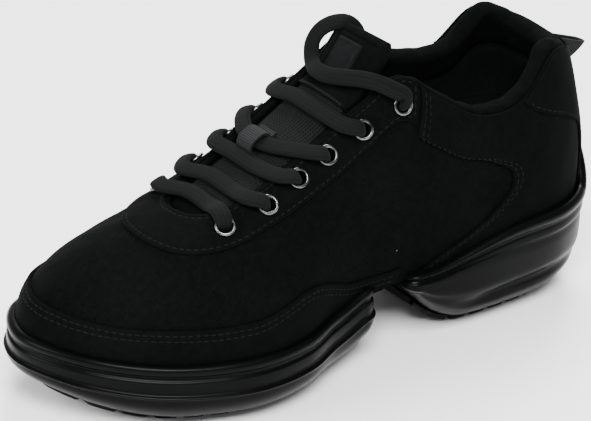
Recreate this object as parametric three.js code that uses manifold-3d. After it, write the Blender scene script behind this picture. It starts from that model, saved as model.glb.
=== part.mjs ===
// A left low-top dance sneaker on a split sole, in millimetres.
// X runs from heel to toe, Y to the wearer's left (the outer side), Z up.
// The origin is on the floor, at the middle of the heel tread's flat spot.
//
// One function, upperPoint(around, rise), gives the outside of the shoe's upper. "around" goes
// once round the shoe: 0 at the heel's back, a quarter on the outer side, a half at the toe tip,
// three quarters on the inner side. "rise" goes from 0 at the feather edge to 1 at the opening.
// The wall, panels, tongue, insole, eyelets, laces and sole cups all take their place from it.

import * as THREE from 'three';
import Module from 'manifold-3d';

const wasm = await Module();
wasm.setup();

// Driving dimensions of the last.
const lastLength = 250;
const ballWidth = 88;
const collarHeight = 78;
const instepHeight = 88;

// Heights of the foot bed and of the floor clearance under it.
const forefootBed = 21;
const heelLift = 13;
const toeSpring = 5;
const archRise = 2.5;
const toeClearance = 11;

// Wall, panels, the gap that glued pieces keep and how far cut faces may be simplified.
const gap = 0.3;
const cutTolerance = 0.04;
const wallThickness = 2.4;
const collarPadding = 5.6;
const panelThickness = 1.1;
const backstayThickness = 1.0;
const archPanelThickness = 2.2;
const facingFront = 19;
const facingBack = 17.5;
const mudguardTall = 20;

// Eyelets and laces.
const eyeletHole = 2.7;
const eyeletFlange = 4.6;
const eyeletBarrel = 3.3;
const flangeThickness = 1.2;
const laceWidth = 5.6;
const laceThickness = 3.0;
const laceDiameter = 4.4;
const laceTipDiameter = 3.2;
const laceTipLength = 16;

// Tongue, insole, pull loop and lace keeper.
const tongueThickness = 5.0;
const tongueRise = 28;
const tongueTuck = 12;
const tongueTopWidth = 32;
const tongueRoll = 5;
const tongueSlant = 3;
const insoleThickness = 4.0;
const loopDepth = 17;
const loopWidth = 6.4;
const tapeThickness = 1.3;
const keeperWidth = 9;
const keeperTape = 1.0;

// Sole units: treads and cups.
const treadThickness = 3.0;
const forefootCup = 8.2;
const heelCup = 10.5;
const heelCupFront = 3.6;
const heelSpur = 18;
const soleSwell = 5;
const forefootInset = 6.2;
const heelInset = 7.2;
const grooveDepth = 1.5;
const grooveWidth = 2.6;
const grooveSpacing = 9.5;
const pivotRadius = 17;

// One row for each section of the last, heel to toe. "at" and "topAt" are shares of lastLength;
// the signed half widths "outer" and "inner" at the feather edge and "topOuter" and "topInner" at the
// opening are shares of ballWidth; "top" is the opening's height above the bed, as a share of
// collarHeight behind the top eyelet and of instepHeight along the lacing, and "innerLift" is what
// the inner side adds. The section leaves the feather edge upwards over "side", leaning out by
// "bulge", and arrives at the opening over "drop", leaning in by "spread": shares of collarHeight
// and of ballWidth.
const SECTIONS = [
  { at: 0.014, outer: 0.000, inner: 0.000, topAt: 0.030, topOuter: 0.000, topInner: 0.000, top: 0.885, innerLift: 0.00, side: 0.31, bulge: 0.056, drop: 0.24, spread: 0.070 },
  { at: 0.030, outer: 0.227, inner: -0.222, topAt: 0.050, topOuter: 0.165, topInner: -0.165, top: 0.925, innerLift: 0.01, side: 0.31, bulge: 0.052, drop: 0.26, spread: 0.074 },
  { at: 0.095, outer: 0.348, inner: -0.338, topAt: 0.100, topOuter: 0.256, topInner: -0.256, top: 0.960, innerLift: 0.03, side: 0.28, bulge: 0.045, drop: 0.32, spread: 0.070 },
  { at: 0.200, outer: 0.373, inner: -0.350, topAt: 0.172, topOuter: 0.300, topInner: -0.290, top: 0.765, innerLift: 0.05, side: 0.26, bulge: 0.036, drop: 0.24, spread: 0.060 },
  { at: 0.310, outer: 0.350, inner: -0.312, topAt: 0.252, topOuter: 0.306, topInner: -0.300, top: 0.775, innerLift: 0.07, side: 0.26, bulge: 0.034, drop: 0.24, spread: 0.070 },
  { at: 0.410, outer: 0.318, inner: -0.285, topAt: 0.330, topOuter: 0.288, topInner: -0.288, top: 0.955, innerLift: 0.03, side: 0.28, bulge: 0.040, drop: 0.22, spread: 0.100 },
  { at: 0.490, outer: 0.312, inner: -0.290, topAt: 0.398, topOuter: 0.226, topInner: -0.228, top: 0.990, innerLift: 0.00, side: 0.32, bulge: 0.040, drop: 0.20, spread: 0.130 },
  { at: 0.560, outer: 0.358, inner: -0.345, topAt: 0.465, topOuter: 0.208, topInner: -0.208, top: 0.930, innerLift: 0.00, side: 0.34, bulge: 0.040, drop: 0.18, spread: 0.140 },
  { at: 0.635, outer: 0.445, inner: -0.440, topAt: 0.545, topOuter: 0.202, topInner: -0.204, top: 0.868, innerLift: -0.01, side: 0.34, bulge: 0.038, drop: 0.17, spread: 0.140 },
  { at: 0.715, outer: 0.462, inner: -0.522, topAt: 0.625, topOuter: 0.200, topInner: -0.204, top: 0.772, innerLift: -0.03, side: 0.35, bulge: 0.044, drop: 0.16, spread: 0.150 },
  { at: 0.805, outer: 0.382, inner: -0.528, topAt: 0.694, topOuter: 0.190, topInner: -0.200, top: 0.694, innerLift: -0.05, side: 0.37, bulge: 0.056, drop: 0.14, spread: 0.165 },
  { at: 0.887, outer: 0.242, inner: -0.490, topAt: 0.734, topOuter: 0.145, topInner: -0.168, top: 0.652, innerLift: -0.05, side: 0.39, bulge: 0.066, drop: 0.13, spread: 0.185 },
  { at: 0.952, outer: 0.050, inner: -0.402, topAt: 0.753, topOuter: 0.066, topInner: -0.096, top: 0.628, innerLift: -0.03, side: 0.40, bulge: 0.068, drop: 0.12, spread: 0.200 },
  { at: 0.988, outer: -0.195, inner: -0.195, topAt: 0.758, topOuter: -0.018, topInner: -0.018, top: 0.618, innerLift: 0.00, side: 0.40, bulge: 0.066, drop: 0.12, spread: 0.205 },
];
const cornerRow = 6;
const stationCount = 2 * (SECTIONS.length - 1);
const cornerAround = cornerRow / stationCount;

// Places along the last, as shares of lastLength.
const heelTreadMiddle = 0.168;
const heelFlat = [0.060, 0.262];
const forefootFlat = [0.568, 0.820];
const heelFront = 0.392;
const forefootBack = 0.464;
const archPanelSpan = [0.345, 0.520];

const up = new THREE.Vector3(0, 0, 1);

// Small helpers.

function smooth(low, high, value) {
  const t = Math.min(1, Math.max(0, (value - low) / (high - low)));
  return t * t * (3 - 2 * t);
}

function mix(a, b, t) {
  return a + (b - a) * t;
}

/** Height of the foot bed at x: the heel lift fades out beyond a raised arch, and the toe springs up. */
function bed(x) {
  const share = x / lastLength;
  const lift = heelLift * (1 - smooth(0.18, 0.62, share));
  const spring = toeSpring * Math.max(0, (share - 0.78) / 0.22) ** 2;
  const arch = archRise * smooth(0.33, 0.42, share) * (1 - smooth(0.45, 0.54, share));
  return forefootBed + lift + arch + spring;
}

/** Height of the underside of the heel unit at x: flat, rolled at the back and cut away at the front. */
function heelFloor(x) {
  const share = x / lastLength;
  const back = Math.max(0, (heelFlat[0] - share) / heelFlat[0]);
  const front = Math.max(0, (share - heelFlat[1]) / (heelFront - heelFlat[1]));
  return 0.30 * heelLift * back ** 2 + (bed(x) - 4.5) * 0.93 * front ** 1.2;
}

/** Height of the underside of the forefoot unit at x: flat, rolled up to the toe and at the back. */
function forefootFloor(x) {
  const share = x / lastLength;
  const back = Math.max(0, (forefootFlat[0] - share) / (forefootFlat[0] - forefootBack));
  const front = Math.max(0, (share - forefootFlat[1]) / (1 - forefootFlat[1]));
  return 0.42 * forefootBed * back ** 2.2 + toeClearance * front ** 2;
}

// The upper's form.

/** The sections as stations round the shoe: heel, outer side, toe, inner side. */
function stations(point) {
  const last = SECTIONS.length - 1;
  const loop = [];
  for (let i = 0; i < last; i++) loop.push(point(SECTIONS[i], i, 1));
  for (let i = last; i > 0; i--) loop.push(point(SECTIONS[i], i, -1));
  return loop;
}

const featherCurve = new THREE.CatmullRomCurve3(stations((row, i, side) => new THREE.Vector3(
  row.at * lastLength,
  (side > 0 ? row.outer : row.inner) * ballWidth,
  0,
)), true, 'centripetal');

const openingCurve = new THREE.CatmullRomCurve3(stations((row, i, side) => {
  const x = row.topAt * lastLength;
  const rise = row.top * (i < cornerRow ? collarHeight : instepHeight);
  const lift = side > 0 ? 0 : row.innerLift * collarHeight;
  return new THREE.Vector3(x, (side > 0 ? row.topOuter : row.topInner) * ballWidth, bed(x) + rise + lift);
}), true, 'centripetal');

const lowerHandles = new THREE.CatmullRomCurve3(stations((row) => new THREE.Vector3(
  row.side * collarHeight,
  row.bulge * ballWidth,
  0,
)), true, 'catmullrom', 0.5);

const upperHandles = new THREE.CatmullRomCurve3(stations((row) => new THREE.Vector3(
  row.drop * collarHeight,
  row.spread * ballWidth,
  0,
)), true, 'catmullrom', 0.5);

function wrap(around) {
  return around - Math.floor(around);
}

/** The feather edge, on the foot bed. */
function feather(around) {
  const p = featherCurve.getPoint(wrap(around));
  p.z = bed(p.x) + gap;
  return p;
}

/** Level direction that points out of the shoe at the feather edge. */
function outwards(around) {
  const step = 0.002;
  const ahead = featherCurve.getPoint(wrap(around + step));
  const behind = featherCurve.getPoint(wrap(around - step));
  return up.clone().cross(ahead.sub(behind)).normalize();
}

/** A point on the outside of the upper: a cubic curve from the feather edge to the opening. */
function upperPoint(around, rise) {
  const out = outwards(around);
  const low = lowerHandles.getPoint(wrap(around));
  const high = upperHandles.getPoint(wrap(around));
  const foot = feather(around);
  const edge = openingCurve.getPoint(wrap(around));
  const first = foot.clone().addScaledVector(up, low.x).addScaledVector(out, low.y);
  const second = edge.clone().addScaledVector(up, -high.x).addScaledVector(out, high.y);
  const r = 1 - rise;
  return foot.multiplyScalar(r * r * r)
    .addScaledVector(first, 3 * r * r * rise)
    .addScaledVector(second, 3 * r * rise * rise)
    .addScaledVector(edge, rise * rise * rise);
}

/** The direction out of the upper's surface. */
function upperNormal(around, rise) {
  const step = 0.002;
  const a = upperPoint(around + step, rise).sub(upperPoint(around - step, rise));
  const middle = Math.min(0.99, Math.max(0.01, rise));
  const b = upperPoint(around, middle + 0.01).sub(upperPoint(around, middle - 0.01));
  return b.cross(a).normalize();
}

/** The upper's surface moved out by a distance, or in by a negative one. */
function upperOffset(around, rise, distance) {
  return upperPoint(around, rise).addScaledVector(upperNormal(around, rise), distance);
}

/** Wall thickness: thin, with a padded roll along the collar. */
function wall(around, rise) {
  const fromHeel = Math.min(wrap(around), 1 - wrap(around));
  const collar = 1 - smooth(0.86 * cornerAround, 1.06 * cornerAround, fromHeel);
  return wallThickness + collarPadding * collar * smooth(0.45, 0.92, rise);
}

/** The rise that lies a distance down the surface from the opening. */
function riseFromTop(around, distance) {
  let rise = 1;
  let length = 0;
  let last = upperPoint(around, 1);
  while (length < distance && rise > 0.02) {
    rise -= 0.01;
    const next = upperPoint(around, rise);
    length += next.distanceTo(last);
    last = next;
  }
  return rise;
}

/** The rise at a height above the feather edge. */
function riseAtHeight(around, height) {
  const base = feather(around).z;
  let low = 0;
  let high = 1;
  for (let i = 0; i < 24; i++) {
    const middle = (low + high) / 2;
    if (upperPoint(around, middle).z - base < height) low = middle;
    else high = middle;
  }
  return (low + high) / 2;
}

/** The place round the shoe, on one side, where a curve reaches x. */
function aroundAt(curve, x, side) {
  let low = 0;
  let high = 0.5;
  for (let i = 0; i < 30; i++) {
    const middle = (low + high) / 2;
    if (curve.getPoint(side > 0 ? middle : wrap(1 - middle)).x < x) low = middle;
    else high = middle;
  }
  return side > 0 ? (low + high) / 2 : 1 - (low + high) / 2;
}

// Meshes.

/**
 * Joins rings of points, all of one even number, into a closed surface. With "ring" the last joins the
 * first; otherwise strips close both ends. Quads from the ring "turned" on are split the other way.
 */
function loft(rings, { ring = false, turned = Infinity } = {}) {
  const count = rings[0].length;
  const points = rings.flat();
  const faces = [];
  const quad = (a, b, c, d) => faces.push(a, b, c, a, c, d);
  const last = ring ? rings.length : rings.length - 1;
  for (let j = 0; j < last; j++) {
    const here = j * count;
    const next = ((j + 1) % rings.length) * count;
    for (let i = 0; i < count; i++) {
      const k = (i + 1) % count;
      if (j < turned) quad(here + i, here + k, next + k, next + i);
      else quad(here + k, next + k, next + i, here + i);
    }
  }
  if (!ring) {
    const top = (rings.length - 1) * count;
    for (let i = 0; i < count / 2 - 1; i++) {
      const mate = count - 1 - i;
      quad(mate, mate - 1, i + 1, i);
      quad(top + mate, top + i, top + i + 1, top + mate - 1);
    }
  }
  return turnOut(geometryOf(points, faces));
}

function geometryOf(points, faces) {
  const geometry = new THREE.BufferGeometry();
  geometry.setAttribute('position', new THREE.Float32BufferAttribute(points.flatMap((p) => [p.x, p.y, p.z]), 3));
  geometry.setIndex(faces);
  return geometry;
}

/** Turns a closed mesh inside out if its volume is negative. */
function turnOut(geometry) {
  const p = geometry.attributes.position;
  const index = geometry.index.array;
  const [a, b, c] = [new THREE.Vector3(), new THREE.Vector3(), new THREE.Vector3()];
  let volume = 0;
  for (let i = 0; i < index.length; i += 3) {
    a.fromBufferAttribute(p, index[i]);
    b.fromBufferAttribute(p, index[i + 1]);
    c.fromBufferAttribute(p, index[i + 2]);
    volume += a.dot(b.cross(c));
  }
  if (volume < 0) geometry.setIndex(Array.from(index).reverse());
  return geometry;
}

/** Welds a library geometry's corners, so that it is one closed surface. */
function weld(source) {
  const p = source.attributes.position;
  const index = source.index ? source.index.array : Array.from({ length: p.count }, (_, i) => i);
  const known = new Map();
  const points = [];
  const renamed = Array.from(index, (i) => {
    const point = new THREE.Vector3().fromBufferAttribute(p, i);
    const key = point.toArray().map((n) => Math.round(n * 1e4)).join(' ');
    if (!known.has(key)) {
      known.set(key, points.length);
      points.push(point);
    }
    return known.get(key);
  });
  const faces = [];
  for (let i = 0; i < renamed.length; i += 3) {
    const [a, b, c] = renamed.slice(i, i + 3);
    if (a !== b && b !== c && c !== a) faces.push(a, b, c);
  }
  return turnOut(geometryOf(points, faces));
}

function solid(geometry) {
  return new wasm.Manifold(new wasm.Mesh({
    numProp: 3,
    vertProperties: new Float32Array(geometry.attributes.position.array),
    triVerts: new Uint32Array(geometry.index.array),
  }));
}

function geometryFrom(manifold) {
  const mesh = manifold.simplify(cutTolerance).getMesh();
  const geometry = new THREE.BufferGeometry();
  geometry.setAttribute('position', new THREE.Float32BufferAttribute(mesh.vertProperties, 3));
  geometry.setIndex(Array.from(mesh.triVerts));
  return geometry;
}

/** The same places round the shoe for the upper and for all that lies on it, so that their facets run parallel. */
const aroundCount = 46;
const AROUND = Array.from({ length: aroundCount }, (_, i) => (i + 0.5) / aroundCount);
const RISES = [0, 0.13, 0.28, 0.44, 0.60, 0.76, 0.90, 1];

// Panels reach down into the sole cups, to this rise.
const lowestRise = 0.03;

/** A closed sheet right round the upper, between two distances from its surface. */
function sleeve(inside, outside) {
  const rises = [lowestRise, ...RISES.slice(1, -1), 0.99];
  const ringAt = (distance) => (rise) => AROUND.map((around) => upperOffset(around, rise, distance));
  const rings = [...rises.map(ringAt(outside)), ...rises.reverse().map(ringAt(inside))];
  return solid(loft(rings, { ring: true, turned: rises.length }));
}

/** A thick cutting form across the upper's wall, between two places round the shoe and two rises at each. */
function band(start, end, low, high) {
  const reach = 3 * panelThickness;
  const turns = [0, 1].flatMap((turn) => AROUND.map((around) => around + turn));
  const places = [start, ...turns.filter((around) => around > start + 0.002 && around < end - 0.002), end];
  return solid(loft(places.map((around) => {
    const rises = [low(around), high(around)];
    return [
      ...rises.map((rise) => upperOffset(around, rise, -reach)),
      ...rises.reverse().map((rise) => upperOffset(around, rise, 2 * reach)),
    ];
  })));
}

/** A form cut by its outline as seen from the side: points are shares of lastLength and of collarHeight above the heel's bed. */
function sideForm(outline) {
  const base = forefootBed + heelLift;
  const shape = new THREE.Shape(outline.map(([x, z]) => new THREE.Vector2(x * lastLength, base + z * collarHeight)));
  const width = 2 * ballWidth;
  const block = new THREE.ExtrudeGeometry(shape, { depth: width, bevelEnabled: false });
  block.rotateX(Math.PI / 2);
  block.translate(0, width / 2, 0);
  return solid(weld(block));
}

/** A tube of round section along a smooth route, with flat ends. */
function tube(route, diameter, steps, sides) {
  const section = new THREE.Shape();
  for (let i = 0; i < sides; i++) {
    const angle = (2 * Math.PI * i) / sides;
    const x = (Math.cos(angle) * diameter) / 2;
    const y = (Math.sin(angle) * diameter) / 2;
    if (i === 0) section.moveTo(x, y);
    else section.lineTo(x, y);
  }
  section.closePath();
  const path = new THREE.CatmullRomCurve3(route, false, 'centripetal');
  return weld(new THREE.ExtrudeGeometry(section, { steps, extrudePath: path }));
}

// Colours and finishes.

const cloth = new THREE.MeshStandardMaterial({ color: 0x0e1112, roughness: 0.95, metalness: 0 });
const suede = new THREE.MeshStandardMaterial({ color: 0x101314, roughness: 0.9, metalness: 0 });
const rubber = new THREE.MeshStandardMaterial({ color: 0x1a1e1d, roughness: 0.5, metalness: 0 });
const treadRubber = new THREE.MeshStandardMaterial({ color: 0x131615, roughness: 0.75, metalness: 0 });
const metal = new THREE.MeshStandardMaterial({ color: 0x4a4d50, roughness: 0.25, metalness: 1 });
const braid = new THREE.MeshStandardMaterial({ color: 0x15191a, roughness: 0.85, metalness: 0 });
const lining = new THREE.MeshStandardMaterial({ color: 0x0b0d0e, roughness: 0.95, metalness: 0 });

const shoe = new THREE.Group();
shoe.position.x = -heelTreadMiddle * lastLength;

function add(name, geometry, material) {
  const mesh = new THREE.Mesh(geometry, material);
  mesh.name = name;
  shoe.add(mesh);
  return mesh;
}

// Eyelets along each facing, from the throat's front to the top corner: "at" is a share of lastLength
// and "inset" the distance from the throat's edge. Where a lace bar crosses, "outer", "middle" and
// "inner" say how far it sags to the toe at the outer edge, on the tongue and at the inner edge.

const EYELETS = [
  { at: 0.712, inset: 8.5, outer: 2.5, middle: 3.5, inner: 4.0 },
  { at: 0.648, inset: 8.5, outer: 8.0, middle: 9.5, inner: 9.5 },
  { at: 0.595, inset: 6.6, outer: 7.0, middle: 10.5, inner: 7.5 },
  { at: 0.543, inset: 6.6, outer: 6.0, middle: 14.5, inner: 7.0 },
  { at: 0.478, inset: 8.2, outer: 7.0, middle: 10.0, inner: 9.0 },
  { at: 0.403, inset: 11.0 },
];
const eyeletCount = EYELETS.length;

function eyeletPlace(row, side) {
  const { at, inset } = EYELETS[row];
  const around = aroundAt(openingCurve, at * lastLength, side);
  return [around, riseFromTop(around, inset)];
}

/** A turned ring along +Z from its seat at 0: flange above, barrel below. */
function eyeletRing() {
  const depth = wallThickness + panelThickness + gap;
  const profile = [
    [eyeletHole, -depth],
    [eyeletBarrel, -depth],
    [eyeletBarrel, 0],
    [eyeletFlange, 0],
    [eyeletFlange - 0.7, flangeThickness],
    [eyeletHole, flangeThickness - 0.3],
    [eyeletHole, -depth],
  ].map(([r, z]) => new THREE.Vector2(r, z));
  const turned = new THREE.LatheGeometry(profile, 10);
  turned.rotateX(Math.PI / 2);
  return weld(turned);
}

/** Turns +Z to the upper's normal at an eyelet and sets it on the facing. */
function seatEyelet(mesh, row, side) {
  const [around, rise] = eyeletPlace(row, side);
  const normal = upperNormal(around, rise);
  mesh.position.copy(upperOffset(around, rise, gap + panelThickness + gap));
  mesh.quaternion.setFromUnitVectors(up, normal);
}

/** A plug for every eyelet barrel, to cut its hole. */
function eyeletPlugs() {
  const plugs = [];
  for (const side of [1, -1]) {
    for (let row = 0; row < eyeletCount; row++) {
      const sides = 6;
      const radius = (eyeletBarrel + gap / 2) / Math.cos(Math.PI / sides);
      const shape = new THREE.CylinderGeometry(radius, radius, 16, sides);
      shape.rotateX(Math.PI / 2);
      const plug = new THREE.Object3D();
      seatEyelet(plug, row, side);
      plug.updateMatrix();
      shape.applyMatrix4(plug.matrix);
      plugs.push(solid(weld(shape)));
    }
  }
  return plugs;
}

const plugs = eyeletPlugs();

/** A solid with all eyelet holes cut. */
function pierce(body) {
  return geometryFrom(plugs.reduce((rest, plug) => rest.subtract(plug), body));
}

// Upper: one wall round the foot, with a strip that closes it under the arch.

function upperShell() {
  const innerRises = [1, 0.86, 0.66, 0.36, 0];
  const rings = RISES.map((rise) => AROUND.map((around) => upperPoint(around, rise)));
  for (const angle of [40, 90, 140].map(THREE.MathUtils.degToRad)) {
    rings.push(AROUND.map((around) => {
      const half = wall(around, 1) / 2;
      const normal = upperNormal(around, 1);
      const along = upperPoint(around, 1).sub(upperPoint(around, 0.97)).normalize();
      return upperPoint(around, 1)
        .addScaledVector(normal, -half + half * Math.cos(angle))
        .addScaledVector(along, 0.7 * half * Math.sin(angle));
    }));
  }
  for (const rise of innerRises) {
    rings.push(AROUND.map((around) => upperOffset(around, rise, -wall(around, rise))));
  }
  return loft(rings, { ring: true, turned: rings.length - innerRises.length });
}

function archPanel() {
  const rings = [];
  const steps = 5;
  const edgeInWall = 0.35 * wallThickness;
  for (let i = 0; i <= steps; i++) {
    const x = lastLength * mix(archPanelSpan[0], archPanelSpan[1], i / steps);
    const low = bed(x) + gap + 0.05;
    const high = low + archPanelThickness;
    const outer = featherCurve.getPoint(aroundAt(featherCurve, x, 1)).y - edgeInWall;
    const inner = featherCurve.getPoint(aroundAt(featherCurve, x, -1)).y + edgeInWall;
    rings.push([
      new THREE.Vector3(x, outer, low),
      new THREE.Vector3(x, outer, high),
      new THREE.Vector3(x, inner, high),
      new THREE.Vector3(x, inner, low),
    ]);
  }
  return loft(rings);
}

add('upper', pierce(solid(upperShell()).add(solid(archPanel()))), cloth);

// Panels over the upper, each cut from a sheet that follows it.

const panelIn = gap;
const panelOut = gap + panelThickness;
const panelSheet = sleeve(panelIn, panelOut);

/** Height of the mudguard's upper edge above the feather edge: low round the toe, highest behind the ball. */
function mudguardHeight(around) {
  const share = featherCurve.getPoint(wrap(around)).x / lastLength;
  const front = 0.325 * smooth(0.62, 0.74, share) + 0.075 * smooth(0.85, 0.98, share);
  return mudguardTall * (0.4 + smooth(0.42, 0.66, share) - front);
}

const mudguardEnd = aroundAt(featherCurve, lastLength * 0.412, 1);
const mudguardTop = (around) => riseAtHeight(around, mudguardHeight(around));

add('mudguard', geometryFrom(
  panelSheet.intersect(band(mudguardEnd, 1 - mudguardEnd, () => 0, mudguardTop)),
), suede);

const facingEnd = 0.372;

/** Width of the facing round the throat, a little wider at its front. */
function facingWidth(around) {
  const fromToe = Math.abs(wrap(around) - 0.5);
  return mix(facingFront, facingBack, smooth(0.06, 0.17, fromToe));
}

/** The facing's cutting form, with a margin beyond its lower edge and its ends. */
function facingForm(margin) {
  const end = aroundAt(openingCurve, lastLength * facingEnd - margin, 1);
  return band(end, 1 - end, (around) => riseFromTop(around, facingWidth(around) + margin), () => 1.02);
}

add('eyestay', pierce(panelSheet.intersect(facingForm(0))), suede);

// The quarter shows in front of this line, down from the collar's corner, round the heel panel and to the arch.
const QUARTER_EDGE = [
  [0.430, 1.25], [0.415, 0.90], [0.385, 0.76], [0.315, 0.61], [0.240, 0.50], [0.202, 0.42],
  [0.200, 0.34], [0.235, 0.23], [0.285, 0.13], [0.345, 0.04], [0.385, -0.06], [0.395, -0.50],
];
const quarterWindow = sideForm([...QUARTER_EDGE, [1.2, -0.50], [1.2, 1.25]]);

add('heel_foxing', geometryFrom(panelSheet.subtract(quarterWindow).subtract(facingForm(2 * gap))), suede);

// Backstay: a strip up the heel that widens into a yoke along the collar.

const backstayIn = panelOut + gap;
const backstayOut = backstayIn + backstayThickness;
const BACKSTAY_EDGE = [
  [0.030, -0.50], [0.030, 0.42], [0.040, 0.50], [0.080, 0.60], [0.165, 0.74], [0.180, 1.50],
];

add('backstay', geometryFrom(
  sleeve(backstayIn, backstayOut).intersect(sideForm([...BACKSTAY_EDGE, [-0.2, 1.50], [-0.2, -0.50]])),
), suede);

// Sole units.

/** Distance from the upper's surface to the cups that hold it, panels and gap included. */
function stack(around) {
  const fromHeel = Math.min(wrap(around), 1 - wrap(around));
  const strip = aroundAt(featherCurve, lastLength * BACKSTAY_EDGE[0][0], 1);
  return panelOut + gap + (backstayOut - panelOut) * (1 - smooth(1.8 * strip, 3.2 * strip, fromHeel));
}

/** The room that the dressed upper takes in the sole cups, from the bed upwards. */
function upperRoom() {
  const rises = [0.04, 0.12, 0.22, 0.34, 0.46, 0.60];
  const ringAt = (rise) => AROUND.map((around) => upperOffset(around, rise, stack(around)));
  const floor = ringAt(0).map((p) => p.setZ(bed(p.x)));
  return solid(loft([floor, ...rises.map(ringAt)]));
}

const room = upperRoom();

/** Level distance from the feather edge out to the room's side, at a height above the bed. */
function roomAt(around, height) {
  const side = upperPoint(around, riseAtHeight(around, height));
  return side.sub(feather(around)).dot(outwards(around)) + stack(around);
}

/**
 * Plan loop of one sole unit: the feather edge from start to end, and a blunt rounded end across the
 * arch. Each place holds its point, its outward direction, the place round the shoe that it follows,
 * and how far it lies towards the middle of the blunt end, from 0 to 1.
 */
function unitLoop(start, end, tipX, sideCount, endCount) {
  const bluntness = 3.2;
  const edges = [feather(start), feather(end)];
  const middle = edges[0].clone().add(edges[1]).multiplyScalar(0.5);
  const half = edges[0].clone().sub(edges[1]).multiplyScalar(0.5);
  const reach = new THREE.Vector3(tipX - middle.x, 0, 0);
  const round = (n) => Math.sign(n) * Math.abs(n) ** (2 / bluntness);
  const corner = (inward, side, around) => {
    const angle = (Math.PI / 2) * inward;
    const point = middle.clone()
      .addScaledVector(half, side * round(Math.cos(angle)))
      .addScaledVector(reach, round(Math.sin(angle)));
    return { point, around, inward };
  };
  const inwards = Array.from({ length: endCount }, (_, i) => (i + 0.5) / endCount);
  const sides = Array.from({ length: sideCount }, (_, i) => mix(start, end, i / (sideCount - 1)));
  const loop = [
    ...[...inwards].reverse().map((inward) => corner(inward, 1, start)),
    ...sides.map((around) => ({ point: feather(around), around, inward: 0 })),
    ...inwards.map((inward) => corner(inward, -1, end)),
  ];
  const turn = Math.sign(end - start);
  loop.forEach((place, i) => {
    const ahead = loop[(i + 1) % loop.length].point;
    const behind = loop.at(i - 1).point;
    place.out = up.clone().cross(ahead.clone().sub(behind).setZ(0)).multiplyScalar(turn).normalize();
  });
  return loop;
}

const cornerLength = 5.5;
const treadMargin = 8;

/** How much of a level's outward distance is left at a place on the blunt end. */
function endReach(inward) {
  return inward > 0 ? mix(0.7, 0.3, inward) : 1;
}

/**
 * A sole unit: rings round its loop from the tread up, less the room for the upper. A shape's "from"
 * says what its height counts from. A "floor" or "bed" level has its height "up" and lies "out" from
 * the feather edge; a "rim" level lies at a "part" of the way up to the rim, "out" from the room.
 * Both "up" and "out" are multiples of soleSwell. Where the unit is thinner than "depth", its levels
 * close up.
 */
function soleUnit(loop, floor, rim, depth, shape) {
  const levels = shape.map((level) => ({ ...level, up: (level.up ?? 0) * soleSwell, out: level.out * soleSwell }));
  const lip = levels.filter((level) => level.from === 'bed').at(-1).up;
  const rings = levels.map((level) => loop.map(({ point, out, around, inward }) => {
    const base = floor(point.x) + treadThickness + gap;
    const top = bed(point.x);
    const squash = Math.min(1, (top - base) / depth);
    const fade = 1 - smooth(0, 0.7, inward);
    const rise = Math.max(lip + 0.6, rim(around) * fade + 1 - fade);
    const height = {
      floor: base + level.up * squash,
      bed: top + level.up * (level.up < 0 ? squash : 1),
      rim: top + mix(lip, rise, level.part),
    }[level.from];
    const seat = level.from === 'rim' ? roomAt(around, Math.max(0, height - top)) : 0;
    const hollow = level.hollow ? level.hollow(point.x) : 0;
    const reach = (seat + level.out) * endReach(inward) + hollow;
    return point.clone().addScaledVector(out, reach).setZ(height);
  }));
  return geometryFrom(solid(loft(rings)).subtract(room));
}

/**
 * The plate under a unit, which stops short of the blunt end, "away" from it along X, with grooves cut
 * across it and a plain disc left where the foot turns.
 */
function tread(loop, floor, inset, away, grooves, disc) {
  const ringAt = (out, height) => loop.map((place) => {
    const p = place.point.clone().addScaledVector(place.out, out * endReach(place.inward));
    return p.setZ(floor(place.point.x) + height);
  });
  let body = solid(loft([
    ringAt(-inset - 1.6, 0),
    ringAt(-inset - 0.3, 0.9),
    ringAt(-inset, treadThickness - 0.4),
    ringAt(-inset - 0.4, treadThickness),
  ]));
  const stop = loop[0].point.x + away * treadMargin;
  body = body.trimByPlane([away, 0, 0], away * stop);
  const [from, to] = grooves.map((share) => share * lastLength);
  const count = Math.floor((to - from) / grooveSpacing) + 1;
  for (let i = 0; i < count; i++) {
    const x = from + i * grooveSpacing;
    const groove = new THREE.BoxGeometry(grooveWidth, 2 * ballWidth, 2 * grooveDepth);
    groove.rotateY(-Math.atan2(floor(x + 1) - floor(x - 1), 2));
    groove.translate(x, 0, floor(x));
    let cutter = solid(weld(groove));
    if (disc) {
      const plain = new THREE.CylinderGeometry(pivotRadius, pivotRadius, 8 * grooveDepth, 24);
      plain.rotateX(Math.PI / 2);
      plain.translate(disc.at * lastLength, disc.across * ballWidth, 0);
      cutter = cutter.subtract(solid(weld(plain)));
    }
    body = body.subtract(cutter);
  }
  return geometryFrom(body);
}

const forefootEnds = [1, -1].map((side) => aroundAt(featherCurve, lastLength * forefootBack + cornerLength, side));
const forefootLoop = unitLoop(forefootEnds[0], forefootEnds[1], lastLength * forefootBack, 32, 4);
const forefootDepth = forefootBed - treadThickness - gap;

add('forefoot_sole', soleUnit(forefootLoop, forefootFloor, () => forefootCup, forefootDepth, [
  { from: 'floor', up: 0, out: -1.30 },
  { from: 'floor', up: 0.32, out: -0.52 },
  { from: 'floor', up: 1.00, out: 0.44 },
  { from: 'floor', up: 1.90, out: 1.08 },
  { from: 'bed', up: -0.92, out: 1.24 },
  { from: 'bed', up: -0.68, out: 1.02 },
  { from: 'bed', up: 0.32, out: 1.04 },
  { from: 'bed', up: 0.56, out: 0.84 },
  { from: 'rim', part: 0.2, out: 0.50 },
  { from: 'rim', part: 0.7, out: 0.58 },
  { from: 'rim', part: 1, out: 0.24 },
]), rubber);
add(
  'forefoot_tread',
  tread(forefootLoop, forefootFloor, forefootInset, 1, [0.515, 0.95], { at: 0.70, across: -0.03 }),
  treadRubber,
);

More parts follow.
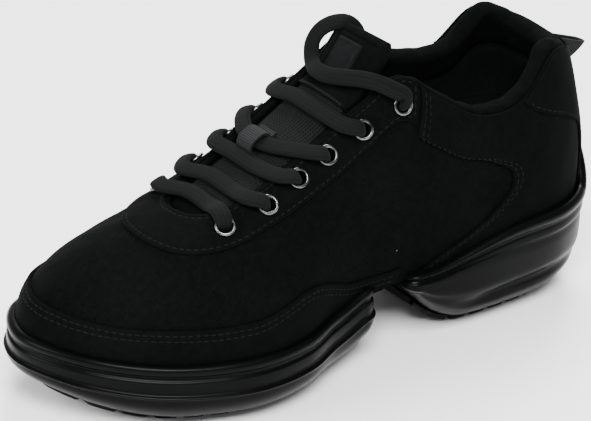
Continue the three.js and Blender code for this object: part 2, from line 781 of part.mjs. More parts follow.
/** Height of the heel cup's rim above the bed: low at the arch, with a spur up the heel's back. */
function heelRim(around) {
  const share = feather(around).x / lastLength;
  const spur = 1 - smooth(0.012, 0.048, Math.min(wrap(around), 1 - wrap(around)));
  return mix(heelCup, heelCupFront, smooth(0.14, 0.38, share)) + heelSpur * spur;
}

/** Depth of the long hollow pressed into the heel unit's side. */
function hollow(x) {
  const share = x / lastLength;
  return -0.38 * soleSwell * smooth(0.03, 0.12, share) * (1 - smooth(0.22, 0.33, share));
}

const heelCorner = aroundAt(featherCurve, lastLength * heelFront - cornerLength, 1);
const heelLoop = unitLoop(heelCorner, -heelCorner, lastLength * heelFront, 30, 4);
const heelDepth = forefootBed + heelLift - treadThickness - gap;

add('heel_sole', soleUnit(heelLoop, heelFloor, heelRim, heelDepth, [
  { from: 'floor', up: 0, out: -1.50 },
  { from: 'floor', up: 0.36, out: -0.72 },
  { from: 'floor', up: 1.10, out: 0.16 },
  { from: 'floor', up: 1.90, out: 0.60 },
  { from: 'floor', up: 2.70, out: 0.72, hollow },
  { from: 'floor', up: 3.40, out: 1.00 },
  { from: 'bed', up: -0.60, out: 1.12 },
  { from: 'rim', part: 0.45, out: 0.52 },
  { from: 'rim', part: 0.6, out: 0.42 },
  { from: 'rim', part: 0.8, out: 0.64 },
  { from: 'rim', part: 1, out: 0.30 },
]), rubber);
add('heel_tread', tread(heelLoop, heelFloor, heelInset, -1, [0.07, 0.29]), treadRubber);

// Insole: a dished pad on the bed, thinner over the arch panel.

function insole() {
  const overPanel = (x) => {
    const share = x / lastLength;
    const on = smooth(archPanelSpan[0] - 0.09, archPanelSpan[0] - 0.05, share);
    const off = 1 - smooth(archPanelSpan[1] + 0.05, archPanelSpan[1] + 0.09, share);
    return (archPanelThickness + 4 * gap) * on * off;
  };
  const count = 36;
  const places = Array.from({ length: count }, (_, i) => (i + 0.5) / count);
  const ringAt = (inset, height) => places.map((around) => {
    const p = feather(around).addScaledVector(outwards(around), -(wallThickness + inset + gap));
    return p.setZ(bed(p.x) + gap + (height > 0 ? height : overPanel(p.x)));
  });
  return loft([
    ringAt(1.2, 0),
    ringAt(2.2, insoleThickness + 1.2),
    ringAt(4.0, insoleThickness + 1.0),
    ringAt(11.0, insoleThickness),
  ]);
}

add('insole', insole(), lining);

// Tongue: its sides lie under the facings, its middle bridges the throat, and its top stands up out of it.

const tongueSides = 3;
const tongueBridge = 3;
const tongueMiddle = tongueSides + (tongueBridge - 1) / 2;

/** One section of the tongue at a place on the outer facing: "depth" below its face, "arch" how far it swells. */
function tongueSection(around, tuck, depth, arch) {
  const under = (place, rise) => upperOffset(place, rise, -(wallThickness + 2 * gap + depth));
  const sides = [around, 1 - around].map((place) => {
    const low = riseFromTop(place, tuck);
    return Array.from({ length: tongueSides }, (_, i) => under(place, mix(low, 1, i / (tongueSides - 1))));
  });
  const width = sides[0].at(-1).distanceTo(sides[1].at(-1));
  const handle = (side) => {
    const along = side.at(-1).clone().sub(side.at(-2)).normalize();
    return side.at(-1).clone().addScaledVector(along, arch * width);
  };
  const bridge = new THREE.CubicBezierCurve3(sides[0].at(-1), handle(sides[0]), handle(sides[1]), sides[1].at(-1));
  const middle = Array.from({ length: tongueBridge }, (_, i) => bridge.getPoint((i + 1) / (tongueBridge + 1)));
  return [...sides[0], ...middle, ...sides[1].reverse()];
}

const tongueSpan = [0.742, 0.488];
const tongueDirection = new THREE.Vector3(-0.60, 0, 0.80).normalize();

/** Settings of the tongue's section, from the throat's front at 0 to where it leaves the facings at 1. */
function tongueAt(share) {
  return {
    around: aroundAt(openingCurve, lastLength * mix(tongueSpan[0], tongueSpan[1], share), 1),
    tuck: mix(3.5, tongueTuck, smooth(0, 0.3, share)) * (1 - 0.95 * smooth(0.65, 1, share)),
    thickness: tongueThickness * mix(0.5, 1, smooth(0, 0.4, share)),
    arch: mix(0.06, 0.16, share),
  };
}

/** The middle of the tongue's face at x. */
function tongueCrown(x) {
  const share = (x / lastLength - tongueSpan[0]) / (tongueSpan[1] - tongueSpan[0]);
  const { around, tuck, arch } = tongueAt(Math.min(1, Math.max(0, share)));
  return tongueSection(around, tuck, 0, arch)[tongueMiddle];
}

/** One ring of the tongue within the throat. */
function tongueRing({ around, tuck, thickness, arch }) {
  return [...tongueSection(around, tuck, 0, arch), ...tongueSection(around, tuck, thickness, arch).reverse()];
}

/** One ring of the tongue's free top, at a share of its length above the facings. */
function tongueTopRing(share) {
  const roll = THREE.MathUtils.degToRad(tongueRoll) * smooth(0, 0.6, share);
  const across = new THREE.Vector3(0, 1, 0).applyAxisAngle(tongueDirection, -roll);
  const face = tongueDirection.clone().cross(across).negate();
  const middle = tongueCrown(lastLength * tongueSpan[1]).addScaledVector(tongueDirection, tongueRise * share);
  const half = (tongueTopWidth / 2) * mix(0.90, 1, smooth(0, 0.6, share)) * mix(1, 0.86, smooth(0.75, 1, share));
  const thickness = tongueThickness * mix(1, 0.45, smooth(0.85, 1, share));
  const count = 2 * tongueSides + tongueBridge;
  const line = (depth) => Array.from({ length: count }, (_, i) => {
    const y = 1 - (2 * i) / (count - 1);
    const sag = 2.5 * y * y + depth;
    return middle.clone().addScaledVector(across, y * half).addScaledVector(face, -sag)
      .addScaledVector(tongueDirection, tongueSlant * y * share);
  });
  return [...line(0), ...line(thickness).reverse()];
}

function tongue() {
  const rows = 8;
  const slope = upperPoint(0.5, 0.97).sub(upperPoint(0.5, 1)).normalize();
  const first = tongueRing({ ...tongueAt(0), tuck: 2.5, thickness: 0.4 * tongueThickness });
  return loft([
    first.map((p) => p.addScaledVector(slope, 7).addScaledVector(up, -1.8)),
    ...Array.from({ length: rows }, (_, i) => tongueRing(tongueAt(i / (rows - 1)))),
    ...[0.22, 0.5, 0.8, 0.93, 1].map(tongueTopRing),
  ]);
}

add('tongue', tongue(), lining);

for (const side of [1, -1]) {
  for (let row = 0; row < eyeletCount; row++) {
    const name = `eyelet_${side > 0 ? 'outer' : 'inner'}_${row + 1}`;
    seatEyelet(add(name, eyeletRing(), metal), row, side);
  }
}

// Laces: a bar across each pair of eyelets but the top one, each slack towards the toe.

const keeperRow = 3;
const keeperShift = -5;

/** A point above an eyelet's flange. */
function overEyelet(row, side, height) {
  const [around, rise] = eyeletPlace(row, side);
  return upperOffset(around, rise, 2 * gap + panelThickness + flangeThickness + height);
}

/** How far the tongue slopes down to the toe at x, in radians. */
function tongueSlope(x) {
  return Math.atan2(tongueCrown(x - 4).z - tongueCrown(x + 4).z, 8);
}

/** The middle of a lace bar, at a distance over the tongue. */
function barMiddle(row, height) {
  const { at, middle } = EYELETS[row];
  return tongueCrown(lastLength * at + middle).addScaledVector(up, height);
}

/** A flat lace laid along a smooth route, its broad side up. */
function laceBar(row) {
  const half = laceThickness / 2;
  const shift = row === keeperRow ? keeperShift : 0;
  const middle = [0.75, -0.75].map((share) => (
    barMiddle(row, half + 4 * gap).add(new THREE.Vector3(0, shift + share * keeperWidth, 0))
  ));
  const lean = up.clone().applyAxisAngle(new THREE.Vector3(0, 1, 0), tongueSlope(middle[0].x));
  const edge = (side, slack) => {
    const { at } = EYELETS[row];
    const around = aroundAt(openingCurve, lastLength * at + slack, side);
    return upperOffset(around, riseFromTop(around, 1.5), panelOut + 5 * gap + half);
  };
  const route = new THREE.CatmullRomCurve3([
    overEyelet(row, 1, half + 4 * gap), edge(1, EYELETS[row].outer), ...middle,
    edge(-1, EYELETS[row].inner), overEyelet(row, -1, half + 4 * gap),
  ], false, 'centripetal');
  const steps = 11;
  const sides = 8;
  return loft(Array.from({ length: steps + 1 }, (_, i) => {
    const point = route.getPointAt(i / steps);
    const across = route.getTangentAt(i / steps).cross(lean).normalize();
    const normal = across.clone().cross(route.getTangentAt(i / steps));
    return Array.from({ length: sides }, (__, j) => {
      const angle = (2 * Math.PI * (j + 0.5)) / sides;
      return point.clone()
        .addScaledVector(across, (laceWidth / 2) * Math.cos(angle))
        .addScaledVector(normal, half * Math.sin(angle));
    });
  }));
}

for (let row = 0; row < eyeletCount - 1; row++) add(`lace_bar_${row + 1}`, laceBar(row), braid);

// The free lace end: from the outer top eyelet over the tongue, round its top edge and down behind it.
const LACE_END = [
  [103.1, 28.2, 112.6], [106.6, 26.0, 115.2], [110.9, 21.6, 117.6], [115.2, 15.8, 118.2], [118.8, 9.2, 117.2],
  [120.7, 1.4, 115.6], [120.0, -6.8, 114.8], [117.8, -13.5, 114.8], [115.8, -18.0, 116.8], [114.6, -20.3, 120.4],
  [113.4, -19.6, 124.6], [111.0, -17.6, 128.0], [106.6, -15.0, 129.9], [101.6, -12.6, 128.8],
  [98.2, -10.2, 124.8], [97.4, -8.6, 119.2], [99.4, -7.6, 113.8],
].map(([x, y, z]) => new THREE.Vector3(x, y, z));
add('lace_end', tube(LACE_END, laceDiameter, 22, 8), braid);

const tipDirection = LACE_END.at(-1).clone().sub(LACE_END.at(-2)).normalize();
const tipStart = LACE_END.at(-1).clone().addScaledVector(tipDirection, gap);
const tipEnd = tipStart.clone().addScaledVector(tipDirection, laceTipLength);
add('lace_tip', tube([tipStart, tipEnd], laceTipDiameter, 1, 8), treadRubber);

// Pull loop: a tape folded double and sewn up the backstay, its outer fold drooping.

function pullLoop() {
  const half = loopWidth / 2;
  const fold = 7;
  const roots = [0.80, 0.955].map((rise) => upperOffset(0, rise, backstayOut + gap));
  const droops = [new THREE.Vector3(-0.24 * loopDepth, 0, -2.4), new THREE.Vector3(-loopDepth, 0, -6.5)];
  /** Points of the tape's outline from above: out along one side, round the fold and back. */
  const outline = (radius, lift) => {
    const points = [new THREE.Vector2(0, radius)];
    for (let i = 0; i <= fold; i++) {
      const angle = Math.PI / 2 - (Math.PI * i) / fold;
      points.push(new THREE.Vector2(1 - half / loopDepth + (Math.cos(angle) * radius) / loopDepth, Math.sin(angle) * radius));
    }
    points.push(new THREE.Vector2(0, -radius));
    return points.map((p) => roots[lift].clone().addScaledVector(droops[lift], p.x).add(new THREE.Vector3(0, p.y, 0)));
  };
  return loft([0, 1].map((lift) => [...outline(half, lift), ...outline(half - tapeThickness, lift).reverse()]));
}

add('pull_loop', pullLoop(), braid);

// Lace keeper: a short tape bridge on the tongue over the fourth bar.

function laceKeeper() {
  const seat = barMiddle(keeperRow, 0);
  const { x } = seat;
  /** One face of the arched tape: from foot to foot over the lace. */
  const arch = (thickness) => {
    const half = laceWidth / 2 + 3 * gap + thickness;
    const top = laceThickness + 6 * gap + thickness;
    return [[-half, gap], [-half, 0.62 * top], [-0.6 * half, top], [0.6 * half, top], [half, 0.62 * top], [half, gap]];
  };
  const outline = new THREE.Shape([...arch(keeperTape), ...arch(0).reverse()].map(([u, v]) => new THREE.Vector2(u, v)));
  const tape = new THREE.ExtrudeGeometry(outline, { depth: keeperWidth, bevelEnabled: false });
  tape.translate(0, 0, -keeperWidth / 2);
  tape.rotateX(Math.PI / 2);
  tape.rotateY(tongueSlope(x));
  tape.translate(seat.x, seat.y + keeperShift, seat.z);
  return weld(tape);
}

add('lace_keeper', laceKeeper(), braid);

export default shoe;
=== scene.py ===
"""Looks of a left dance sneaker on a split sole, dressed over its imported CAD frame."""

import logging
import math
from dataclasses import dataclass, field
from enum import Enum
from typing import Callable, Optional, Sequence, Union

import bmesh
import bpy
import numpy as np
from mathutils import Matrix, Vector


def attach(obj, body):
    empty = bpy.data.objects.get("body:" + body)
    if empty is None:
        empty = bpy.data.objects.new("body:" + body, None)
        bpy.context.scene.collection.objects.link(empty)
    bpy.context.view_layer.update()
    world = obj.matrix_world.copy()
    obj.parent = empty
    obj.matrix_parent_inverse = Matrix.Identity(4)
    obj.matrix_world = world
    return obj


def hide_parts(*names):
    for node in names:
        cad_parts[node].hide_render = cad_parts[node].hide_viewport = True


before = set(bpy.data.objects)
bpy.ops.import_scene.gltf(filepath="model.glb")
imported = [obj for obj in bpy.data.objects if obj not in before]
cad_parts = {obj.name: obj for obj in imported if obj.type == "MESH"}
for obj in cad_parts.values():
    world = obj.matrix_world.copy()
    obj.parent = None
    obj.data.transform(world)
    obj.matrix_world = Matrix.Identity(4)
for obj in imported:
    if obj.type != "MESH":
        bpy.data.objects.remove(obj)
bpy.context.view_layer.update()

Array = np.ndarray
Number = Union[float, "Value"]

MM = 0.001
GAP = 0.3
WALL = 2.4
PANEL = 1.1
TREAD_MIDDLE = 0.168
IMAGE_WIDTH = 591
IMAGE_HEIGHT = 421
UP = np.array([0.0, 0.0, 1.0])

log = logging.getLogger("sneaker")


class Slot(Enum):
    """The record's material slots."""

    CLOTH = "cloth"
    SUEDE = "suede"
    LINING = "lining"
    BRAID = "braid"
    WEBBING = "webbing"
    TIP = "lace_tip"
    SOLE = "sole_rubber"
    TREAD = "tread_rubber"
    METAL = "eyelet_metal"


class Side(Enum):
    """The two sides of the shoe: the wearer's outer side lies at +Y."""

    OUTER = 1
    INNER = -1


# Number helpers on whole arrays.


def smooth(low: float, high: float, value: Array) -> Array:
    """An S-shaped step: 3t^2 - 2t^3, with t the share of the way from low to high.

    Args:
        low: Where the step begins.
        high: Where it ends.
        value: The numbers to step.

    Returns:
        The steps, from 0 to 1.
    """
    t = np.clip((np.asarray(value, float) - low) / (high - low), 0, 1)
    return t * t * (3 - 2 * t)


def mix(a: Array, b: Array, t: Array) -> Array:
    """A straight blend from a at t = 0 to b at t = 1."""
    return a + (b - a) * t


def unit(v: Array) -> Array:
    """Vectors divided by their lengths."""
    return v / np.maximum(np.linalg.norm(v, axis=-1, keepdims=True), 1e-12)


def running_length(points: Array, axis: int = 0) -> Array:
    """Length along one axis of a grid of points: the sum of the steps so far, from 0.

    Args:
        points: A grid of points, the last axis being x, y, z.
        axis: The axis to walk along.

    Returns:
        The lengths, one for each point.
    """
    step = np.linalg.norm(np.diff(points, axis=axis), axis=-1)
    start = np.zeros_like(np.take(step, [0], axis=axis))
    return np.concatenate([start, np.cumsum(step, axis=axis)], axis=axis)


def chaikin(rows: Array, times: int) -> Array:
    """Rounds a stack of rows: each step is cut at a quarter and three quarters, and the ends stay.

    Args:
        rows: The rows, along the first axis.
        times: How often the corners are cut.

    Returns:
        The finer stack.
    """
    for _ in range(times):
        a, b = rows[:-1], rows[1:]
        cut = np.stack([0.75 * a + 0.25 * b, 0.25 * a + 0.75 * b], axis=1)
        rows = np.concatenate([rows[:1], cut.reshape(-1, *rows.shape[1:]), rows[-1:]])
    return rows


def hermite(a: Array, b: Array, c: Array, d: Array, share: Array, centripetal: bool) -> Array:
    """The Catmull-Rom cubic between b and c: a Hermite cubic whose slopes come from the neighbours.

    Args:
        a: The knot before the span.
        b: Its first knot.
        c: Its last knot.
        d: The knot after it.
        share: The place in the span, from 0 to 1, with a last axis of one.
        centripetal: Whether knots are spaced by the root of their distance.

    Returns:
        The points at those places.
    """
    if centripetal:
        g0, g1, g2 = (
            np.maximum(np.linalg.norm(q - p, axis=-1, keepdims=True) ** 0.5, 1e-4)
            for p, q in ((a, b), (b, c), (c, d))
        )
        s1 = ((b - a) / g0 - (c - a) / (g0 + g1) + (c - b) / g1) * g1
        s2 = ((c - b) / g1 - (d - b) / (g1 + g2) + (d - c) / g2) * g1
    else:
        s1, s2 = 0.5 * (c - a), 0.5 * (d - b)
    w = share
    return b + s1 * w + (-3 * b + 3 * c - 2 * s1 - s2) * w**2 + (2 * b - 2 * c + s1 + s2) * w**3


@dataclass(frozen=True)
class Ring:
    """A closed smooth curve through rows of numbers."""

    knots: Array
    centripetal: bool = True

    def at(self, turn: Array) -> Array:
        """The curve's points, by the share of a turn.

        Args:
            turn: Shares of a turn; whole turns are left off.

        Returns:
            The points, with a last axis as long as a knot.
        """
        turn = np.asarray(turn, float)
        count = len(self.knots)
        place = (turn - np.floor(turn)) * count
        first = np.floor(place).astype(int)
        share = (place - first)[..., None]
        a, b, c, d = (self.knots[(first + step) % count] for step in (-1, 0, 1, 2))
        return hermite(a, b, c, d, share, self.centripetal)


def route(knots: Array, count: int) -> Array:
    """An open centripetal Catmull-Rom curve, at places of equal spacing along it.

    Args:
        knots: The points that it passes through.
        count: How many points come back.

    Returns:
        The points, the first and last knot among them.
    """
    knots = np.asarray(knots, float)
    padded = np.vstack([2 * knots[0] - knots[1], knots, 2 * knots[-1] - knots[-2]])
    share = np.linspace(0, 1, 40, endpoint=False)[None, :, None]
    a, b, c, d = (padded[i : len(padded) - 3 + i][:, None] for i in range(4))
    fine = np.vstack([hermite(a, b, c, d, share, True).reshape(-1, 3), knots[-1:]])
    length = running_length(fine)
    at = np.linspace(0, length[-1], count)
    return np.stack([np.interp(at, length, fine[:, k]) for k in range(3)], axis=1)


# Shader trees.


class Value:
    """A shader socket that arithmetic works on; each operation adds a Math node."""

    def __init__(self, tree: bpy.types.NodeTree, socket: bpy.types.NodeSocket) -> None:
        """Wraps a socket of a tree."""
        self.tree = tree
        self.socket = socket

    def math(self, operation: str, *others: Number, swapped: bool = False) -> "Value":
        """Joins this value with others by a Math node.

        Args:
            operation: The node's operation.
            others: The values or numbers of its further sockets.
            swapped: Whether the first of them comes before this value.

        Returns:
            The result.
        """
        node = self.tree.nodes.new("ShaderNodeMath")
        node.operation = operation
        parts = [*others[:1], self, *others[1:]] if swapped else [self, *others]
        for socket, part in zip(node.inputs, parts):
            if isinstance(part, Value):
                self.tree.links.new(part.socket, socket)
            else:
                socket.default_value = part
        return Value(self.tree, node.outputs[0])

    def __add__(self, other: Number) -> "Value":
        """The sum."""
        return self.math("ADD", other)

    def __radd__(self, other: Number) -> "Value":
        """The sum, with the number first."""
        return self.math("ADD", other, swapped=True)

    def __sub__(self, other: Number) -> "Value":
        """The difference."""
        return self.math("SUBTRACT", other)

    def __rsub__(self, other: Number) -> "Value":
        """The number less this value."""
        return self.math("SUBTRACT", other, swapped=True)

    def __mul__(self, other: Number) -> "Value":
        """The product."""
        return self.math("MULTIPLY", other)

    def __rmul__(self, other: Number) -> "Value":
        """The product, with the number first."""
        return self.math("MULTIPLY", other, swapped=True)

    def wave(self, pitch: float) -> "Value":
        """A sine of this value, one wave for each pitch."""
        return (self * (2 * math.pi / pitch)).math("SINE")

    def step(self, low: float, high: float) -> "Value":
        """A soft step from 0 at low to 1 at high; low may be the larger."""
        share = (self - low) * (1 / (high - low))
        return share.math("MULTIPLY_ADD", 1.0, 0.0).math("MINIMUM", 1.0).math("MAXIMUM", 0.0)


class Recipe:
    """A material's node tree in the making, with one Principled shader."""

    def __init__(self, name: str, **constants: Union[float, Sequence[float]]) -> None:
        """Starts a material.

        Args:
            name: Its name.
            constants: Settings of the shader's own sockets, by their names with _ for a space.
        """
        self.material = bpy.data.materials.new(name)
        self.material.use_nodes = True
        self.tree = self.material.node_tree
        self.tree.nodes.clear()
        shader = self.tree.nodes.new("ShaderNodeBsdfPrincipled")
        output = self.tree.nodes.new("ShaderNodeOutputMaterial")
        self.tree.links.new(shader.outputs[0], output.inputs["Surface"])
        self.sockets = shader.inputs
        for key, value in constants.items():
            self.sockets[key.replace("_", " ")].default_value = value

    def node(self, kind: str, settings: dict, inputs: dict, out: Union[int, str] = 0) -> Value:
        """Adds any node.

        Args:
            kind: The node's type, without its usual beginning.
            settings: Its own settings, set first.
            inputs: Values or links of its sockets, by name or number.
            out: The output that is used.

        Returns:
            That output.
        """
        node = self.tree.nodes.new("ShaderNode" + kind)
        for key, value in settings.items():
            setattr(node, key, value)
        for key, value in inputs.items():
            if isinstance(value, Value):
                self.tree.links.new(value.socket, node.inputs[key])
            else:
                node.inputs[key].default_value = value
        return Value(self.tree, node.outputs[out])

    def place(self) -> Value:
        """The object coordinates, in metres."""
        return self.node("TexCoord", {}, {}, "Object")

    def axis(self, vector: Value, name: str) -> Value:
        """One number of a vector."""
        return self.node("SeparateXYZ", {}, {0: vector}, name)

    def pattern(self) -> tuple[Value, Value]:
        """The piece's own pattern map: millimetres along it and across it."""
        spot = self.node("UVMap", {"uv_map": "Pattern"}, {})
        return self.axis(spot, "X"), self.axis(spot, "Y")

    def noise(self, size: float, detail: float = 2.0, where: Optional[Value] = None) -> Value:
        """Noise with grains of a size in millimetres.

        Args:
            size: About the width of a grain.
            detail: Octaves of finer noise.
            where: Coordinates in metres, or the object's own.

        Returns:
            The noise, about 0 to 1.
        """
        vector = where if where is not None else self.place()
        return self.node("TexNoise", {}, {"Vector": vector, "Scale": 0.7 / (size * MM), "Detail": detail})

    def cells(self, size: float, feature: str, out: str, randomness: float = 1.0) -> Value:
        """A Voronoi pattern with cells of a size in millimetres."""
        inputs = {"Vector": self.place(), "Scale": 1 / (size * MM), "Randomness": randomness}
        return self.node("TexVoronoi", {"feature": feature}, inputs, out)

    def blend(self, share: Number, low: object, high: object) -> Value:
        """A colour between two, by a Mix node."""
        return self.node("Mix", {"data_type": "RGBA", "clamp_factor": True}, {0: share, 6: low, 7: high}, 2)

    def bump(self, height: Value, depth: float, strength: float = 1.0) -> None:
        """Feeds a relief to the shader's normal.

        Args:
            height: The relief, 0 to 1.
            depth: The height of 1, in millimetres.
            strength: How much of it counts.
        """
        inputs = {"Height": height, "Distance": depth * MM, "Strength": strength}
        self.feed("Normal", self.node("Bump", {}, inputs))

    def feed(self, name: str, value: Value) -> None:
        """Links a value to one of the shader's sockets."""
        self.tree.links.new(value.socket, self.sockets[name])


def grey(level: float, tint: Sequence[float] = (1.0, 1.0, 1.0)) -> tuple[float, float, float, float]:
    """A colour of one level, tinted, with full alpha."""
    return (level * tint[0], level * tint[1], level * tint[2], 1.0)


COOL = (0.92, 1.02, 1.04)


@dataclass(frozen=True)
class Fabric:
    """A matt cloth or suede: a fine weave or nap, cloudy wear and a few specks of lint."""

    name: str
    dark: float = 0.0007
    light: float = 0.0030
    pitch: float = 0.8
    weave: float = 0.35
    depth: float = 0.12
    rough: float = 0.92
    sheen: float = 0.003
    lint: float = 0.10

    def make(self) -> bpy.types.Material:
        """Builds the material."""
        r = Recipe(
            self.name,
            Sheen_Weight=self.sheen,
            Sheen_Roughness=0.45,
            Sheen_Tint=grey(0.75, COOL),
            Specular_IOR_Level=0.02,
        )
        u, v = r.pattern()
        weave = u.wave(self.pitch) * v.wave(self.pitch) * 0.5 + 0.5
        nap = r.noise(0.55, 3.0)
        cloud = r.noise(26.0, 3.0).step(0.3, 0.72)
        fleck = r.noise(1.7, 2.0).step(0.35, 0.75)
        tone = cloud * 0.35 + fleck * 0.35 + nap * 0.3
        colour = r.blend(tone, grey(self.dark, COOL), grey(self.light, COOL))
        spot = r.cells(7.0, "F1", "Distance")
        pick = r.axis(r.cells(7.0, "F1", "Color"), "X").step(0.86, 0.9)
        colour = r.blend(spot.step(0.055, 0.03) * pick * self.lint * 8.0, colour, grey(0.12, COOL))
        dust = r.noise(0.35, 1.0).step(0.70, 0.78) * self.lint
        colour = r.blend(dust, colour, grey(0.05, COOL))
        r.feed("Base Color", colour)
        r.feed("Roughness", nap * 0.12 + (self.rough - 0.08))
        r.bump(weave * self.weave + nap * (1 - self.weave), self.depth)
        return r.material


@dataclass(frozen=True)
class Net:
    """The tongue's spacer net: rows of small round holes in a knitted face, the holes coloured darker as painted shade
    inside them.
    """

    name: str
    hole: float = 1.5

    def make(self) -> bpy.types.Material:
        """Builds the material."""
        r = Recipe(self.name, Sheen_Weight=0.02, Sheen_Tint=grey(0.8, COOL), Specular_IOR_Level=0.06)
        u, v = r.pattern()
        rows = u.wave(self.hole) * v.wave(self.hole * 1.7) * 0.5 + 0.5
        open_share = rows.step(0.45, 0.8)
        yarn = r.noise(0.3, 2.0)
        face = r.blend(yarn, grey(0.002, COOL), grey(0.008, COOL))
        # Painted shade: the holes are coloured darker than the yarn, standing for the shade inside them.
        r.feed("Base Color", r.blend(open_share, face, grey(0.0008)))
        r.feed("Roughness", open_share * 0.1 + 0.82)
        r.bump((1.0 - open_share) * 0.8 + yarn * 0.2, 0.5)
        return r.material


@dataclass(frozen=True)
class Braid:
    """A flat braid: slanting yarns that cross in a herringbone along the piece, its colour following the relief as
    painted shade in the grooves and painted highlight on the yarns' crowns.
    """

    name: str
    dark: float = 0.0012
    light: float = 0.0070
    yarn: float = 0.85
    column: float = 1.7

    def make(self) -> bpy.types.Material:
        """Builds the material."""
        r = Recipe(
            self.name, Sheen_Weight=0.01, Sheen_Roughness=0.4, Sheen_Tint=grey(0.8, COOL), Specular_IOR_Level=0.05
        )
        u, v = r.pattern()
        zigzag = (v * (1 / self.column)).math("PINGPONG", 1.0)
        yarns = (u * 1.0 + zigzag * (0.9 * self.column)).wave(self.yarn) * 0.5 + 0.5
        edge = v.wave(self.column) * 0.5 + 0.5
        fuzz = r.noise(0.35, 3.0)
        relief = yarns * 0.6 + edge * 0.15 + fuzz * 0.25
        # Painted shade and highlight: the colour follows the relief, darker in the grooves between yarns and lighter on
        # their crowns.
        r.feed("Base Color", r.blend(relief.step(0.2, 0.85), grey(self.dark, COOL), grey(self.light, COOL)))
        r.feed("Roughness", fuzz * 0.15 + 0.75)
        r.bump(relief, 0.14)
        return r.material


@dataclass(frozen=True)
class Webbing:
    """A woven tape: close ribs across it, each a row of small yarn bumps, its colour following the relief as painted
    shade between the ribs and painted highlight on their tops.
    """

    name: str
    dark: float = 0.004
    light: float = 0.020
    rib: float = 0.9

    def make(self) -> bpy.types.Material:
        """Builds the material."""
        r = Recipe(self.name, Sheen_Weight=0.02, Sheen_Tint=grey(0.8, COOL), Specular_IOR_Level=0.12)
        u, v = r.pattern()
        ribs = u.wave(self.rib) * 0.5 + 0.5
        yarns = (v + u * 0.35).wave(0.7) * 0.5 + 0.5
        fuzz = r.noise(0.3, 2.0)
        relief = ribs * 0.6 + yarns * 0.25 + fuzz * 0.15
        # Painted shade and highlight: the colour follows the relief, darker between the ribs and lighter on their tops.
        r.feed("Base Color", r.blend(relief.step(0.15, 0.9), grey(self.dark, COOL), grey(self.light, COOL)))
        r.feed("Roughness", fuzz * 0.2 + 0.68)
        r.bump(relief, 0.3)
        return r.material


@dataclass(frozen=True)
class Rubber:
    """Moulded black rubber: a soft gloss, a fine grain, cloudy bloom and a little dust low down."""

    name: str
    level: float = 0.0013
    rough: float = 0.30
    grain: float = 0.03
    dust: float = 0.35

    def make(self) -> bpy.types.Material:
        """Builds the material."""
        r = Recipe(self.name, Specular_IOR_Level=0.055, IOR=1.45)
        place = r.place()
        cloud = r.noise(18.0, 4.0).step(0.3, 0.75)
        grain = r.noise(0.45, 2.0)
        smear = r.noise(6.0, 5.0).step(0.52, 0.8)
        low = r.axis(place, "Z").step(0.016, 0.001) * self.dust
        base = r.blend(cloud, grey(self.level * 0.75, COOL), grey(self.level * 1.5, COOL))
        r.feed("Base Color", r.blend(low * smear, base, grey(0.010, (1.0, 1.0, 0.95))))
        r.feed("Roughness", cloud * 0.10 + smear * 0.08 + low * 0.2 + (self.rough - 0.05))
        r.bump(grain * 0.6 + smear * 0.4, self.grain)
        return r.material


@dataclass(frozen=True)
class Metal:
    """Dark plated metal, brighter and smoother where it is rubbed, with fine scratches."""

    name: str

    def make(self) -> bpy.types.Material:
        """Builds the material."""
        r = Recipe(self.name, Metallic=1.0)
        u, v = r.pattern()
        wear = r.noise(2.2, 3.0).step(0.35, 0.7)
        scratch = (r.noise(0.25, 1.0) + u.wave(0.9) * 0.1).step(0.45, 0.8)
        r.feed("Base Color", r.blend(wear, grey(0.03, (0.97, 1.0, 1.03)), grey(0.18, (1.0, 1.0, 0.98))))
        r.feed("Roughness", scratch * 0.12 + wear * 0.05 + 0.20)
        r.bump(scratch, 0.01)
        return r.material


@dataclass(frozen=True)
class Floor:
    """A pale studio floor with the faintest unevenness."""

    name: str

    def make(self) -> bpy.types.Material:
        """Builds the material."""
        r = Recipe(self.name, Specular_IOR_Level=0.1)
        cloud = r.noise(240.0, 2.0)
        r.feed("Base Color", r.blend(cloud, grey(0.97), grey(0.985)))
        r.feed("Roughness", cloud * 0.1 + 0.75)
        return r.material


# Meshes in the making.


